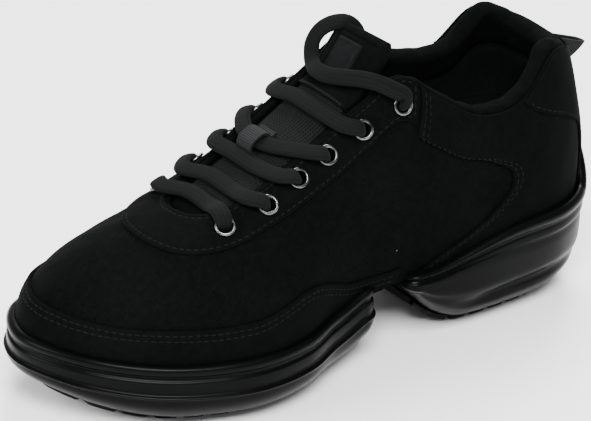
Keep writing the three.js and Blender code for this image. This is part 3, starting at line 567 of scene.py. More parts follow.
@dataclass
class Skin:
    """A surface in the making: points in shoe millimetres, faces, and a pattern place for each corner."""

    points: list[Array] = field(default_factory=list)
    quads: list[Array] = field(default_factory=list)
    patterns: list[Array] = field(default_factory=list)
    finishes: list[Array] = field(default_factory=list)
    plates: list[list[int]] = field(default_factory=list)

    def count(self) -> int:
        """How many points there are so far."""
        return sum(len(p) for p in self.points)

    def add(self, points: Array, quads: Array, pattern: Array, finish: Array) -> None:
        """Adds points and quads, whose numbers count from the new points.

        Args:
            points: New points.
            quads: Four numbers a face.
            pattern: The corners' pattern places, four a face.
            finish: The faces' finish numbers, or one for all.
        """
        base = self.count()
        self.points.append(points.reshape(-1, 3))
        self.quads.append(quads + base)
        self.patterns.append(pattern)
        self.finishes.append(np.broadcast_to(finish, len(quads)).astype(int))

    def sheet(
        self,
        points: Array,
        wrap: tuple[bool, bool] = (False, False),
        finish: Union[int, Array] = 0,
        keep: Optional[Array] = None,
        turned: bool = False,
    ) -> Array:
        """Adds a grid of points as quads, its pattern being the lengths along its rows and columns.

        Args:
            points: Rows by columns by x, y, z.
            wrap: Whether the rows, and the columns, close on themselves.
            finish: A finish number, or one for each cell.
            keep: Which cells become faces.
            turned: Whether the faces look the other way.

        Returns:
            The new quads' numbers, counted from the skin's start.
        """
        rows, cols = points.shape[:2]
        index = np.arange(rows * cols).reshape(rows, cols)
        closed = points
        for k in (0, 1):
            if wrap[k]:
                index = np.concatenate([index, np.take(index, [0], axis=k)], axis=k)
                closed = np.concatenate([closed, np.take(closed, [0], axis=k)], axis=k)
        along = running_length(closed, 1)
        across = running_length(closed, 0)
        pattern = np.stack([along, across], axis=-1)
        order = [(0, 0), (0, 1), (1, 1), (1, 0)]
        if turned:
            order = order[::-1]
        r, c = index.shape
        pick = [(slice(i, r - 1 + i), slice(j, c - 1 + j)) for i, j in order]
        quads = np.stack([index[p] for p in pick], axis=-1).reshape(-1, 4)
        corners = np.stack([pattern[p] for p in pick], axis=-2).reshape(-1, 4, 2)
        cells = np.broadcast_to(finish, (r - 1, c - 1)).reshape(-1)
        if keep is not None:
            chosen = keep.reshape(-1)
            quads, corners, cells = quads[chosen], corners[chosen], cells[chosen]
        base = self.count()
        self.add(points, quads, corners, cells)
        return quads + base

    def slab(self, top: Array, bottom: Array, keep: Optional[Array] = None, finish: Union[int, Array] = 0) -> None:
        """Adds two sheets of one grid, and walls between them along every border, round holes too.

        Args:
            top: The outer sheet.
            bottom: The inner one, a grid of the same size.
            keep: Which cells become faces.
            finish: A finish number, or one for each cell.
        """
        first = self.sheet(top, keep=keep, finish=finish)
        offset = top.shape[0] * top.shape[1]
        self.sheet(bottom, keep=keep, finish=finish, turned=True)
        a = first.reshape(-1)
        b = np.roll(first, -1, axis=1).reshape(-1)
        size = self.count()
        border = ~np.isin(a * size + b, b * size + a)
        a, b = a[border], b[border]
        walls = np.stack([b, a, a + offset, b + offset], axis=1)
        self.quads.append(walls)
        self.patterns.append(np.zeros((len(walls), 4, 2)))
        self.finishes.append(np.zeros(len(walls), int))

    def tube(self, centres: Array, across: Array, normal: Array, section: Array, finish: int = 0) -> None:
        """Carries a section along a line and closes both ends with flat plates.

        Args:
            centres: The line's points.
            across: A direction across the line at each point.
            normal: The direction square to both.
            section: For each point, rows of two distances: along across and along normal.
            finish: The finish number.
        """
        ring = (
            centres[:, None]
            + across[:, None] * section[..., :1]
            + normal[:, None] * section[..., 1:]
        )
        base = self.count()
        swapped = np.swapaxes(ring, 0, 1)
        rows, cols = swapped.shape[:2]
        self.sheet(swapped, wrap=(True, False), finish=finish)
        first = [base + i * cols for i in range(rows)]
        self.plates.append(first)
        self.plates.append([i + cols - 1 for i in first[::-1]])

    def build(
        self,
        name: str,
        finishes: Sequence[bpy.types.Material],
        slot: Slot,
        replaces: Sequence[str] = (),
        crease: float = 42.0,
        welded: bool = False,
    ) -> bpy.types.Object:
        """Makes the object: points go to metres in the row frame, and faces are turned outwards.

        Args:
            name: The piece's name.
            finishes: Its materials, by finish number.
            slot: A record's material slot; not used.
            replaces: The CAD nodes that it stands for.
            crease: Edges sharper than this angle stay sharp, in degrees.
            welded: Whether points in one place are merged.

        Returns:
            The object, riding on the root body.
        """
        points = np.concatenate(self.points)
        quads = np.concatenate(self.quads)
        corner = points[quads]
        volume = 0.0
        for i, j, k in ((0, 1, 2), (0, 2, 3)):
            volume += float((corner[:, i] * np.cross(corner[:, j], corner[:, k])).sum())
        patterns = np.concatenate(self.patterns)
        plates = self.plates
        if volume < 0:
            quads, patterns = quads[:, ::-1], patterns[:, ::-1]
            plates = [plate[::-1] for plate in plates]
        used, packed = np.unique(np.concatenate([quads.ravel(), *map(np.array, plates)]).astype(int), return_inverse=True)
        quads = packed[: quads.size].reshape(-1, 4)
        rest = packed[quads.size :].tolist()
        faces = quads.tolist()
        for plate in plates:
            faces.append(rest[: len(plate)])
            rest = rest[len(plate) :]
        mesh = bpy.data.meshes.new(name)
        moved = (points[used] - [TREAD_MIDDLE * LAST.length, 0, 0]) * MM
        mesh.from_pydata(moved.tolist(), [], faces)
        layer = mesh.uv_layers.new(name="Pattern")
        flat = np.zeros((len(mesh.loops), 2), np.float32)
        flat[: quads.size] = patterns.reshape(-1, 2)
        layer.data.foreach_set("uv", flat.ravel())
        index = np.zeros(len(mesh.polygons), np.int32)
        index[: len(quads)] = np.concatenate(self.finishes)
        mesh.polygons.foreach_set("material_index", index)
        for material in finishes:
            mesh.materials.append(material)
        if welded:
            work = bmesh.new()
            work.from_mesh(mesh)
            bmesh.ops.remove_doubles(work, verts=work.verts, dist=1e-6)
            work.to_mesh(mesh)
            work.free()
        mesh.shade_smooth()
        mesh.set_sharp_from_angle(angle=math.radians(crease))
        mesh.update()
        piece = bpy.data.objects.new(name, mesh)
        bpy.context.scene.collection.objects.link(piece)
        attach(piece, "root")
        if replaces:
            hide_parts(*replaces)
        log.info("%-22s %6d faces", name, len(mesh.polygons))
        return piece


def box_section(width: Array, thick: Array, power: float, sides: int) -> Array:
    """A rounded flat section: |x/w|^p + |y/t|^p = 1, with w and t the half sizes.

    Args:
        width: The whole width at each place.
        thick: The whole thickness at each place.
        power: 2 for an ellipse, more for a flatter form.
        sides: Points round the section.

    Returns:
        Places by sides by two distances.
    """
    angle = 2 * math.pi * (np.arange(sides) + 0.5) / sides
    x = np.sign(np.cos(angle)) * np.abs(np.cos(angle)) ** (2 / power)
    y = np.sign(np.sin(angle)) * np.abs(np.sin(angle)) ** (2 / power)
    return np.stack([np.outer(width / 2, x), np.outer(thick / 2, y)], axis=-1)


def carried(line: Array, start: Array) -> tuple[Array, Array]:
    """Directions across a line that turn with it and no more: each is the last one, laid square to the line.

    Args:
        line: The points of the line.
        start: A direction across its start.

    Returns:
        The directions across it, and the ones square to them and to the line.
    """
    along = unit(np.gradient(line, axis=0))
    across = np.zeros_like(line)
    last = start
    for i, t in enumerate(along):
        last = unit(last - t * float(last @ t))
        across[i] = last
    return across, np.cross(across, along)


# The last, as in the part's source. Columns of the sections, heel to toe: at, outer, inner, top_at,
# top_outer, top_inner, top, inner_lift, side, bulge, drop, spread.
SECTIONS = np.array([
    [0.014, 0.000, 0.000, 0.030, 0.000, 0.000, 0.885, 0.00, 0.31, 0.056, 0.24, 0.070],
    [0.030, 0.227, -0.222, 0.050, 0.165, -0.165, 0.925, 0.01, 0.31, 0.052, 0.26, 0.074],
    [0.095, 0.348, -0.338, 0.100, 0.256, -0.256, 0.960, 0.03, 0.28, 0.045, 0.32, 0.070],
    [0.200, 0.373, -0.350, 0.172, 0.300, -0.290, 0.765, 0.05, 0.26, 0.036, 0.24, 0.060],
    [0.310, 0.350, -0.312, 0.252, 0.306, -0.300, 0.775, 0.07, 0.26, 0.034, 0.24, 0.070],
    [0.410, 0.318, -0.285, 0.330, 0.288, -0.288, 0.955, 0.03, 0.28, 0.040, 0.22, 0.100],
    [0.490, 0.312, -0.290, 0.398, 0.226, -0.228, 0.990, 0.00, 0.32, 0.040, 0.20, 0.130],
    [0.560, 0.358, -0.345, 0.465, 0.208, -0.208, 0.930, 0.00, 0.34, 0.040, 0.18, 0.140],
    [0.635, 0.445, -0.440, 0.545, 0.202, -0.204, 0.868, -0.01, 0.34, 0.038, 0.17, 0.140],
    [0.715, 0.462, -0.522, 0.625, 0.200, -0.204, 0.772, -0.03, 0.35, 0.044, 0.16, 0.150],
    [0.805, 0.382, -0.528, 0.694, 0.190, -0.200, 0.694, -0.05, 0.37, 0.056, 0.14, 0.165],
    [0.887, 0.242, -0.490, 0.734, 0.145, -0.168, 0.652, -0.05, 0.39, 0.066, 0.13, 0.185],
    [0.952, 0.050, -0.402, 0.753, 0.066, -0.096, 0.628, -0.03, 0.40, 0.068, 0.12, 0.200],
    [0.988, -0.195, -0.195, 0.758, -0.018, -0.018, 0.618, 0.00, 0.40, 0.066, 0.12, 0.205],
])
CORNER_ROW = 6

# Soft creases of the upper: place round the shoe, rise, turn from the level in degrees,
# half length and half width in millimetres, and depth, negative for a ridge.
CREASES = np.array([
    [0.345, 0.50, 52.0, 17.0, 4.6, 0.30],
    [0.372, 0.40, 34.0, 19.0, 5.4, 0.32],
    [0.300, 0.44, 76.0, 15.0, 5.0, 0.24],
    [0.412, 0.60, 12.0, 20.0, 5.0, 0.26],
    [0.455, 0.70, -8.0, 18.0, 4.6, 0.22],
    [0.225, 0.50, 80.0, 16.0, 5.6, 0.34],
    [0.175, 0.58, 30.0, 17.0, 5.2, 0.32],
    [0.120, 0.62, 15.0, 16.0, 4.6, 0.28],
    [0.660, 0.50, -56.0, 17.0, 4.8, 0.30],
    [0.700, 0.44, -40.0, 16.0, 5.0, 0.28],
    [0.770, 0.52, -78.0, 16.0, 5.6, 0.32],
    [0.840, 0.60, -25.0, 16.0, 5.0, 0.30],
])


@dataclass
class Last:
    """The upper's form. A place is a share of the way round it and a rise from feather edge to opening."""

    length: float = 250.0
    ball: float = 88.0
    collar: float = 78.0
    instep: float = 88.0
    forefoot_bed: float = 21.0
    heel_lift: float = 13.0
    toe_spring: float = 5.0
    arch_rise: float = 2.5
    toe_clearance: float = 11.0
    collar_padding: float = 5.6

    def __post_init__(self) -> None:
        """Works out the four closed curves round the shoe."""
        table = SECTIONS
        rows = np.concatenate([np.arange(len(table) - 1), np.arange(len(table) - 1, 0, -1)])
        inner = np.arange(len(rows)) >= len(table) - 1
        row = table[rows]
        count = len(rows)
        self.corner = CORNER_ROW / count
        zero = np.zeros(count)
        width = np.where(inner, row[:, 2], row[:, 1]) * self.ball
        self.foot = Ring(np.stack([row[:, 0] * self.length, width, zero], axis=1))
        tall = np.where(rows < CORNER_ROW, self.collar, self.instep) * row[:, 6]
        lift = np.where(inner, row[:, 7] * self.collar, 0)
        x = row[:, 3] * self.length
        width = np.where(inner, row[:, 5], row[:, 4]) * self.ball
        self.opening = Ring(np.stack([x, width, self.bed(x) + tall + lift], axis=1))
        self.lower = Ring(row[:, [8, 9, 9]] * [self.collar, self.ball, 0], False)
        self.upper = Ring(row[:, [10, 11, 11]] * [self.collar, self.ball, 0], False)

    def bed(self, x: Array) -> Array:
        """Height of the foot bed: the heel lift fades out past a raised arch, and the toe springs up."""
        share = np.asarray(x, float) / self.length
        lift = self.heel_lift * (1 - smooth(0.18, 0.62, share))
        spring = self.toe_spring * np.maximum(0, (share - 0.78) / 0.22) ** 2
        arch = self.arch_rise * smooth(0.33, 0.42, share) * (1 - smooth(0.45, 0.54, share))
        return self.forefoot_bed + lift + arch + spring

    def feather(self, around: Array) -> Array:
        """The feather edge, just above the foot bed."""
        p = self.foot.at(around)
        p[..., 2] = self.bed(p[..., 0]) + GAP
        return p

    def outwards(self, around: Array) -> Array:
        """The level direction out of the shoe: up crossed with the way along the feather edge."""
        step = 0.002
        ahead = self.foot.at(np.asarray(around) + step) - self.foot.at(np.asarray(around) - step)
        return unit(np.cross(np.broadcast_to(UP, ahead.shape), ahead))

    def point(self, around: Array, rise: Array) -> Array:
        """A point of the outside: a cubic from the feather edge, leaving it upwards, to the opening.

        Args:
            around: Places round the shoe.
            rise: Rises, of a shape that fits.

        Returns:
            The points.
        """
        around, rise = np.broadcast_arrays(np.asarray(around, float), np.asarray(rise, float))
        out = self.outwards(around)
        low = self.lower.at(around)
        high = self.upper.at(around)
        foot = self.feather(around)
        edge = self.opening.at(around)
        first = foot + UP * low[..., :1] + out * low[..., 1:2]
        second = edge - UP * high[..., :1] + out * high[..., 1:2]
        t = rise[..., None]
        r = 1 - t
        return foot * r**3 + first * (3 * r * r * t) + second * (3 * r * t * t) + edge * t**3

    def normal(self, around: Array, rise: Array) -> Array:
        """The direction out of the surface: the way up it crossed with the way round it."""
        around, rise = np.broadcast_arrays(np.asarray(around, float), np.asarray(rise, float))
        a = self.point(around + 0.002, rise) - self.point(around - 0.002, rise)
        middle = np.clip(rise, 0.01, 0.99)
        b = self.point(around, middle + 0.01) - self.point(around, middle - 0.01)
        return unit(np.cross(b, a))

    def relief(self, around: Array, rise: Array) -> Array:
        """Creases and slack: for each crease -depth exp(-(across/width)^2 - (along/length)^4), plus slow waves.

        Args:
            around: Places round the shoe.
            rise: Rises.

        Returns:
            Millimetres out of the surface, fading out at the sole and at the opening.
        """
        around, rise = np.broadcast_arrays(np.asarray(around, float), np.asarray(rise, float))
        around = around - np.floor(around)
        a, r, turn, length, width, depth = CREASES.T
        u = (around[..., None] - a) * 590.0
        v = (rise[..., None] - r) * 88.0
        c, s = np.cos(np.radians(turn)), np.sin(np.radians(turn))
        along, across = u * c + v * s, -u * s + v * c
        trough = np.exp(-((across / width) ** 2) - (along / length) ** 4)
        ridge = np.exp(-(((across - 1.9 * width) / width) ** 2) - (along / length) ** 4)
        total = (depth * (0.45 * ridge - trough)).sum(axis=-1)
        turn_angle = 2 * math.pi * around
        slow = 0.16 * np.sin(9 * turn_angle + 5 * rise) + 0.12 * np.sin(17 * turn_angle - 9 * rise + 1.3)
        slow += 0.07 * np.sin(31 * turn_angle + 14 * rise + 0.4)
        return (total + slow) * smooth(0.10, 0.30, rise) * (1 - smooth(0.80, 0.97, rise))

    def offset(self, around: Array, rise: Array, distance: Array) -> Array:
        """The creased surface moved out by a distance, or in by a negative one."""
        out = np.asarray(distance) + self.relief(around, rise)
        return self.point(around, rise) + self.normal(around, rise) * out[..., None]

    def plain(self, around: Array, rise: Array, distance: Array) -> Array:
        """The surface without its creases, moved out by a distance."""
        shift = np.asarray(distance, float) * np.ones(np.broadcast_shapes(np.shape(around), np.shape(rise)))
        return self.point(around, rise) + self.normal(around, rise) * shift[..., None]

    def from_heel(self, around: Array) -> Array:
        """Share of a turn to the heel's back, either way."""
        turn = np.asarray(around, float) - np.floor(around)
        return np.minimum(turn, 1 - turn)

    def padded_share(self, around: Array) -> Array:
        """1 along the padded collar, 0 along the lacing."""
        return 1 - smooth(0.86 * self.corner, 1.06 * self.corner, self.from_heel(around))

    def wall(self, around: Array, rise: Array) -> Array:
        """Wall thickness: thin, with a padded roll along the collar."""
        return WALL + self.collar_padding * self.padded_share(around) * smooth(0.45, 0.92, rise)

    def rise_from_top(self, around: Array, distance: Array) -> Array:
        """The rise that lies a distance down the surface from the opening.

        Args:
            around: Places round the shoe.
            distance: Millimetres down, one number or one for each place.

        Returns:
            The rises.
        """
        around = np.atleast_1d(np.asarray(around, float))
        rises = np.linspace(1, 0.02, 99)
        length = running_length(self.point(around[:, None], rises[None]), 1)
        distance = np.broadcast_to(distance, around.shape)
        return np.array([np.interp(d, row, rises) for d, row in zip(distance, length)])

    def rise_at_height(self, around: Array, height: Array) -> Array:
        """The rise at a height above the feather edge, by halving."""
        around, height = np.broadcast_arrays(np.asarray(around, float), np.asarray(height, float))
        low, high = np.zeros(around.shape), np.ones(around.shape)
        base = self.feather(around)[..., 2]
        for _ in range(22):
            middle = (low + high) / 2
            below = self.point(around, middle)[..., 2] - base < height
            low, high = np.where(below, middle, low), np.where(below, high, middle)
        return (low + high) / 2

    def around_at(self, ring: Ring, x: Array, side: Side) -> Array:
        """The place round the shoe, on one side, where a curve reaches x, by halving."""
        x = np.asarray(x, float)
        low, high = np.zeros(x.shape), np.full(x.shape, 0.5)
        for _ in range(28):
            middle = (low + high) / 2
            below = ring.at(middle if side is Side.OUTER else 1 - middle)[..., 0] < x
            low, high = np.where(below, middle, low), np.where(below, high, middle)
        middle = (low + high) / 2
        return middle if side is Side.OUTER else 1 - middle

    def seen_at(self, x: Array, z: Array, side: Side) -> tuple[Array, Array]:
        """Places whose x and z are given, as on a side view, by Newton steps from the opening.

        Args:
            x: Millimetres from the heel.
            z: Heights.
            side: Which side of the shoe.

        Returns:
            Their places round the shoe and rises.
        """
        low, high = self.around_at(self.foot, x, side), self.around_at(self.opening, x, side)
        around, rise = (low + high) / 2, np.full(np.shape(x), 0.5)
        for _ in range(30):
            here = self.point(around, rise)
            da = (self.point(around + 1e-4, rise) - here) / 1e-4
            dr = (self.point(around, rise + 1e-4) - here) / 1e-4
            ex, ez = x - here[..., 0], z - here[..., 2]
            det = da[..., 0] * dr[..., 2] - da[..., 2] * dr[..., 0]
            step_a = (ex * dr[..., 2] - ez * dr[..., 0]) / det
            step_r = (ez * da[..., 0] - ex * da[..., 2]) / det
            around = around + np.clip(0.7 * step_a, -0.03, 0.03)
            rise = np.clip(rise + np.clip(0.7 * step_r, -0.12, 0.12), 0.0, 1.0)
        return around, rise


LAST = Last()


# Eyelets and places on the facings. Columns, front to back: share of the length, distance from the
# throat's edge, and where a bar crosses, how far it sags to the toe at its outer edge, middle and inner edge.
EYELETS = np.array([
    [0.712, 8.5, 2.5, 3.5, 4.0],
    [0.648, 8.5, 8.0, 9.5, 9.5],
    [0.595, 6.6, 7.0, 10.5, 7.5],
    [0.543, 6.6, 6.0, 14.5, 7.0],
    [0.478, 8.2, 7.0, 10.0, 9.0],
    [0.403, 11.0, 0.0, 0.0, 0.0],
])


def eyelet_place(row: int, side: Side) -> tuple[float, float]:
    """The place round the shoe and the rise of an eyelet."""
    around = LAST.around_at(LAST.opening, EYELETS[row, 0] * LAST.length, side)
    return float(around), float(LAST.rise_from_top(around, EYELETS[row, 1])[0])


def eyelet_axis(row: int, side: Side) -> tuple[Array, Array]:
    """The seat's middle and the outward direction of an eyelet."""
    around, rise = eyelet_place(row, side)
    seat = 2 * GAP + PANEL
    return LAST.offset(around, rise, seat), LAST.normal(around, rise)


def unpierced(points: Array, radius: float) -> Array:
    """Which cells of a grid lie clear of all eyelet holes.

    Args:
        points: Rows by columns by x, y, z.
        radius: The holes' radius in millimetres.

    Returns:
        True for each cell to keep.
    """
    middle = (points[:-1, :-1] + points[1:, :-1] + points[:-1, 1:] + points[1:, 1:]) / 4
    keep = np.ones(middle.shape[:2], bool)
    for side in Side:
        for row in range(len(EYELETS)):
            seat, normal = eyelet_axis(row, side)
            away = middle - seat
            depth = away @ normal
            flat = np.linalg.norm(away - depth[..., None] * normal, axis=-1)
            keep &= (flat > radius) | (np.abs(depth) > 9)
    return keep


# Finishes of the whole shoe.


@dataclass
class Finishes:
    """One material for each kind of surface."""

    cloth: bpy.types.Material
    suede: bpy.types.Material
    lining: bpy.types.Material
    net: bpy.types.Material
    braid: bpy.types.Material
    webbing: bpy.types.Material
    tape: bpy.types.Material
    thread: bpy.types.Material
    label: bpy.types.Material
    sole: bpy.types.Material
    tread: bpy.types.Material
    tip: bpy.types.Material
    metal: bpy.types.Material

    @classmethod
    def mixed(cls) -> "Finishes":
        """Builds every material once."""
        return cls(
            cloth=Fabric("canvas", pitch=0.9, weave=0.45).make(),
            suede=Fabric("microsuede", dark=0.0008, light=0.0028, weave=0.1, depth=0.08, rough=0.88).make(),
            lining=Fabric("brushed_lining", dark=0.0016, light=0.0050, pitch=1.3, weave=0.5, sheen=0.02).make(),
            net=Net("spacer_net").make(),
            braid=Braid("lace_braid").make(),
            webbing=Webbing("keeper_webbing", dark=0.003, light=0.013).make(),
            tape=Webbing("loop_tape", dark=0.002, light=0.008).make(),
            thread=Braid("sewing_thread", dark=0.0025, light=0.009, yarn=0.5, column=0.6).make(),
            label=Fabric("woven_label", dark=0.003, light=0.009, pitch=0.6, weave=0.7, sheen=0.015).make(),
            sole=Rubber("sole_rubber").make(),
            tread=Rubber("tread_rubber", level=0.004, rough=0.55, grain=0.06, dust=0.7).make(),
            tip=Rubber("tip_plastic", level=0.004, rough=0.22, grain=0.01, dust=0.0).make(),
            metal=Metal("plated_metal").make(),
        )


@dataclass(frozen=True)
class Seam:
    """A row of stitches: long beads of thread, each bedded in the cloth at both ends."""

    pitch: float = 2.9
    length: float = 2.3
    width: float = 0.62
    height: float = 0.36

    def sew(self, skin: Skin, line: Array, out: Array) -> None:
        """Adds stitches along a line.

        Args:
            skin: The skin that takes them.
            line: Points of the seam on the cloth.
            out: The cloth's outward direction at each.
        """
        run = running_length(line)
        count = max(1, int(run[-1] / self.pitch))
        at = (np.arange(count) + 0.5) * run[-1] / count
        pick = lambda data, s: np.stack([np.interp(s, run, data[:, k]) for k in range(3)], axis=1)
        half = self.length / 2
        along = unit(pick(line, at + half) - pick(line, at - half))
        normal = unit(pick(out, at))
        across = unit(np.cross(normal, along))
        normal = np.cross(along, across)
        steps = np.array([-1.0, -0.82, 0.0, 0.82, 1.0])
        swell = np.array([0.25, 0.75, 1.0, 0.75, 0.25])
        angle = 2 * math.pi * np.arange(6) / 6
        sink = self.height * (0.55 * (1 - steps**2) - 0.15)
        centre = pick(line, at)[:, None] + along[:, None] * (steps * half)[:, None] + normal[:, None] * sink[:, None]
        ring = (
            centre[:, :, None]
            + across[:, None, None] * (np.outer(swell, np.cos(angle)) * self.width / 2)[..., None]
            + normal[:, None, None] * (np.outer(swell, np.sin(angle)) * self.height / 2)[..., None]
        )
        i, j = np.meshgrid(np.arange(4), np.arange(6), indexing="ij")
        k = (j + 1) % 6
        quads = np.stack([i * 6 + j, (i + 1) * 6 + j, (i + 1) * 6 + k, i * 6 + k], axis=-1).reshape(-1, 4)
        ends = np.array([[0, 1, 2, 3], [0, 3, 4, 5], [24, 27, 26, 25], [24, 29, 28, 27]])
        quads = np.vstack([quads, ends])
        every = (quads[None] + 30 * np.arange(count)[:, None, None]).reshape(-1, 4)
        local = np.stack([np.tile(np.repeat(steps * half, 6), count), np.tile(angle, 5 * count)], axis=-1)
        skin.add(ring, every, local[every], 0)


def edged(width: float, step: float, edge: Sequence[float] = (0.0, 0.12, 0.3, 0.6, 1.0, 1.5)) -> Array:
    """Shares across a strip, close together at both edges and even between them.

    Args:
        width: The strip's usual width, in millimetres.
        step: The even spacing.
        edge: Distances from each edge of the close places.

    Returns:
        Shares from 0 to 1.
    """
    near = np.array(edge) / width
    count = max(2, int(round((width - 2 * edge[-1]) / step)))
    middle = np.linspace(near[-1], 1 - near[-1], count + 1)[1:-1]
    return np.concatenate([near, middle, 1 - near[::-1]])


@dataclass
class Panel:
    """A flat piece of suede on the upper, over a grid of places, with rounded edges and sewn troughs."""

    around: Array
    rise: Array
    inside: float = GAP
    outside: float = GAP + PANEL
    round_edge: float = 0.8
    trough: float = 0.24

    def edge_distances(self) -> dict[str, Array]:
        """Distances from the grid's four borders, along its lines: first and last row, first and last column."""
        points = LAST.plain(self.around, self.rise, self.outside)
        down, over = running_length(points, 0), running_length(points, 1)
        return {"top": down, "foot": down[-1:] - down, "start": over, "end": over[:, -1:] - over}

    def surfaces(self, free: Sequence[str], sewn: Sequence[str], rows: Sequence[float]) -> tuple[Array, Array]:
        """The outer and inner sheet: the edge rounds off as a quarter circle, and each sewn row sinks in a trough.

        Args:
            free: Borders that show.
            sewn: Borders that have stitch rows.
            rows: The rows' distances from the border.

        Returns:
            The outer and the inner grid.
        """
        distance = self.edge_distances()
        swell = np.ones(self.around.shape)
        for name in free:
            share = np.clip(distance[name] / self.round_edge, 0, 1)
            swell = swell * (0.12 + 0.88 * np.sqrt(1 - (1 - share) ** 2))
        sink = np.zeros(self.around.shape)
        for name in sewn:
            for row in rows:
                sink = np.maximum(sink, self.trough * np.exp(-(((distance[name] - row) / 0.6) ** 2)))
        top = self.inside + (self.outside - self.inside) * swell - sink
        return LAST.offset(self.around, self.rise, top), LAST.offset(self.around, self.rise, self.inside)

    def stitch_line(self, border: str, away: float, inset: float = 0.0) -> tuple[Array, Array]:
        """A line on the panel at a distance from one border.

        Args:
            border: top, foot, start or end.
            away: The distance from it.
            inset: Millimetres left off at both ends.

        Returns:
            The line's points and the outward directions there.
        """
        distance = self.edge_distances()[border]
        axis = 0 if border in ("top", "foot") else 1
        grid = np.moveaxis(np.stack([self.around, self.rise, distance], axis=-1), axis, 0)
        if border in ("foot", "end"):
            grid = grid[::-1]
        places = np.array([
            [np.interp(away, column[:, 2], column[:, k]) for k in (0, 1)]
            for column in np.moveaxis(grid, 1, 0)
        ])
        line = LAST.offset(places[:, 0], places[:, 1], self.outside - self.trough)
        out = LAST.normal(places[:, 0], places[:, 1])
        run = running_length(line)
        kept = (run >= inset) & (run <= run[-1] - inset)
        return line[kept], out[kept]


# Sub-assemblies.


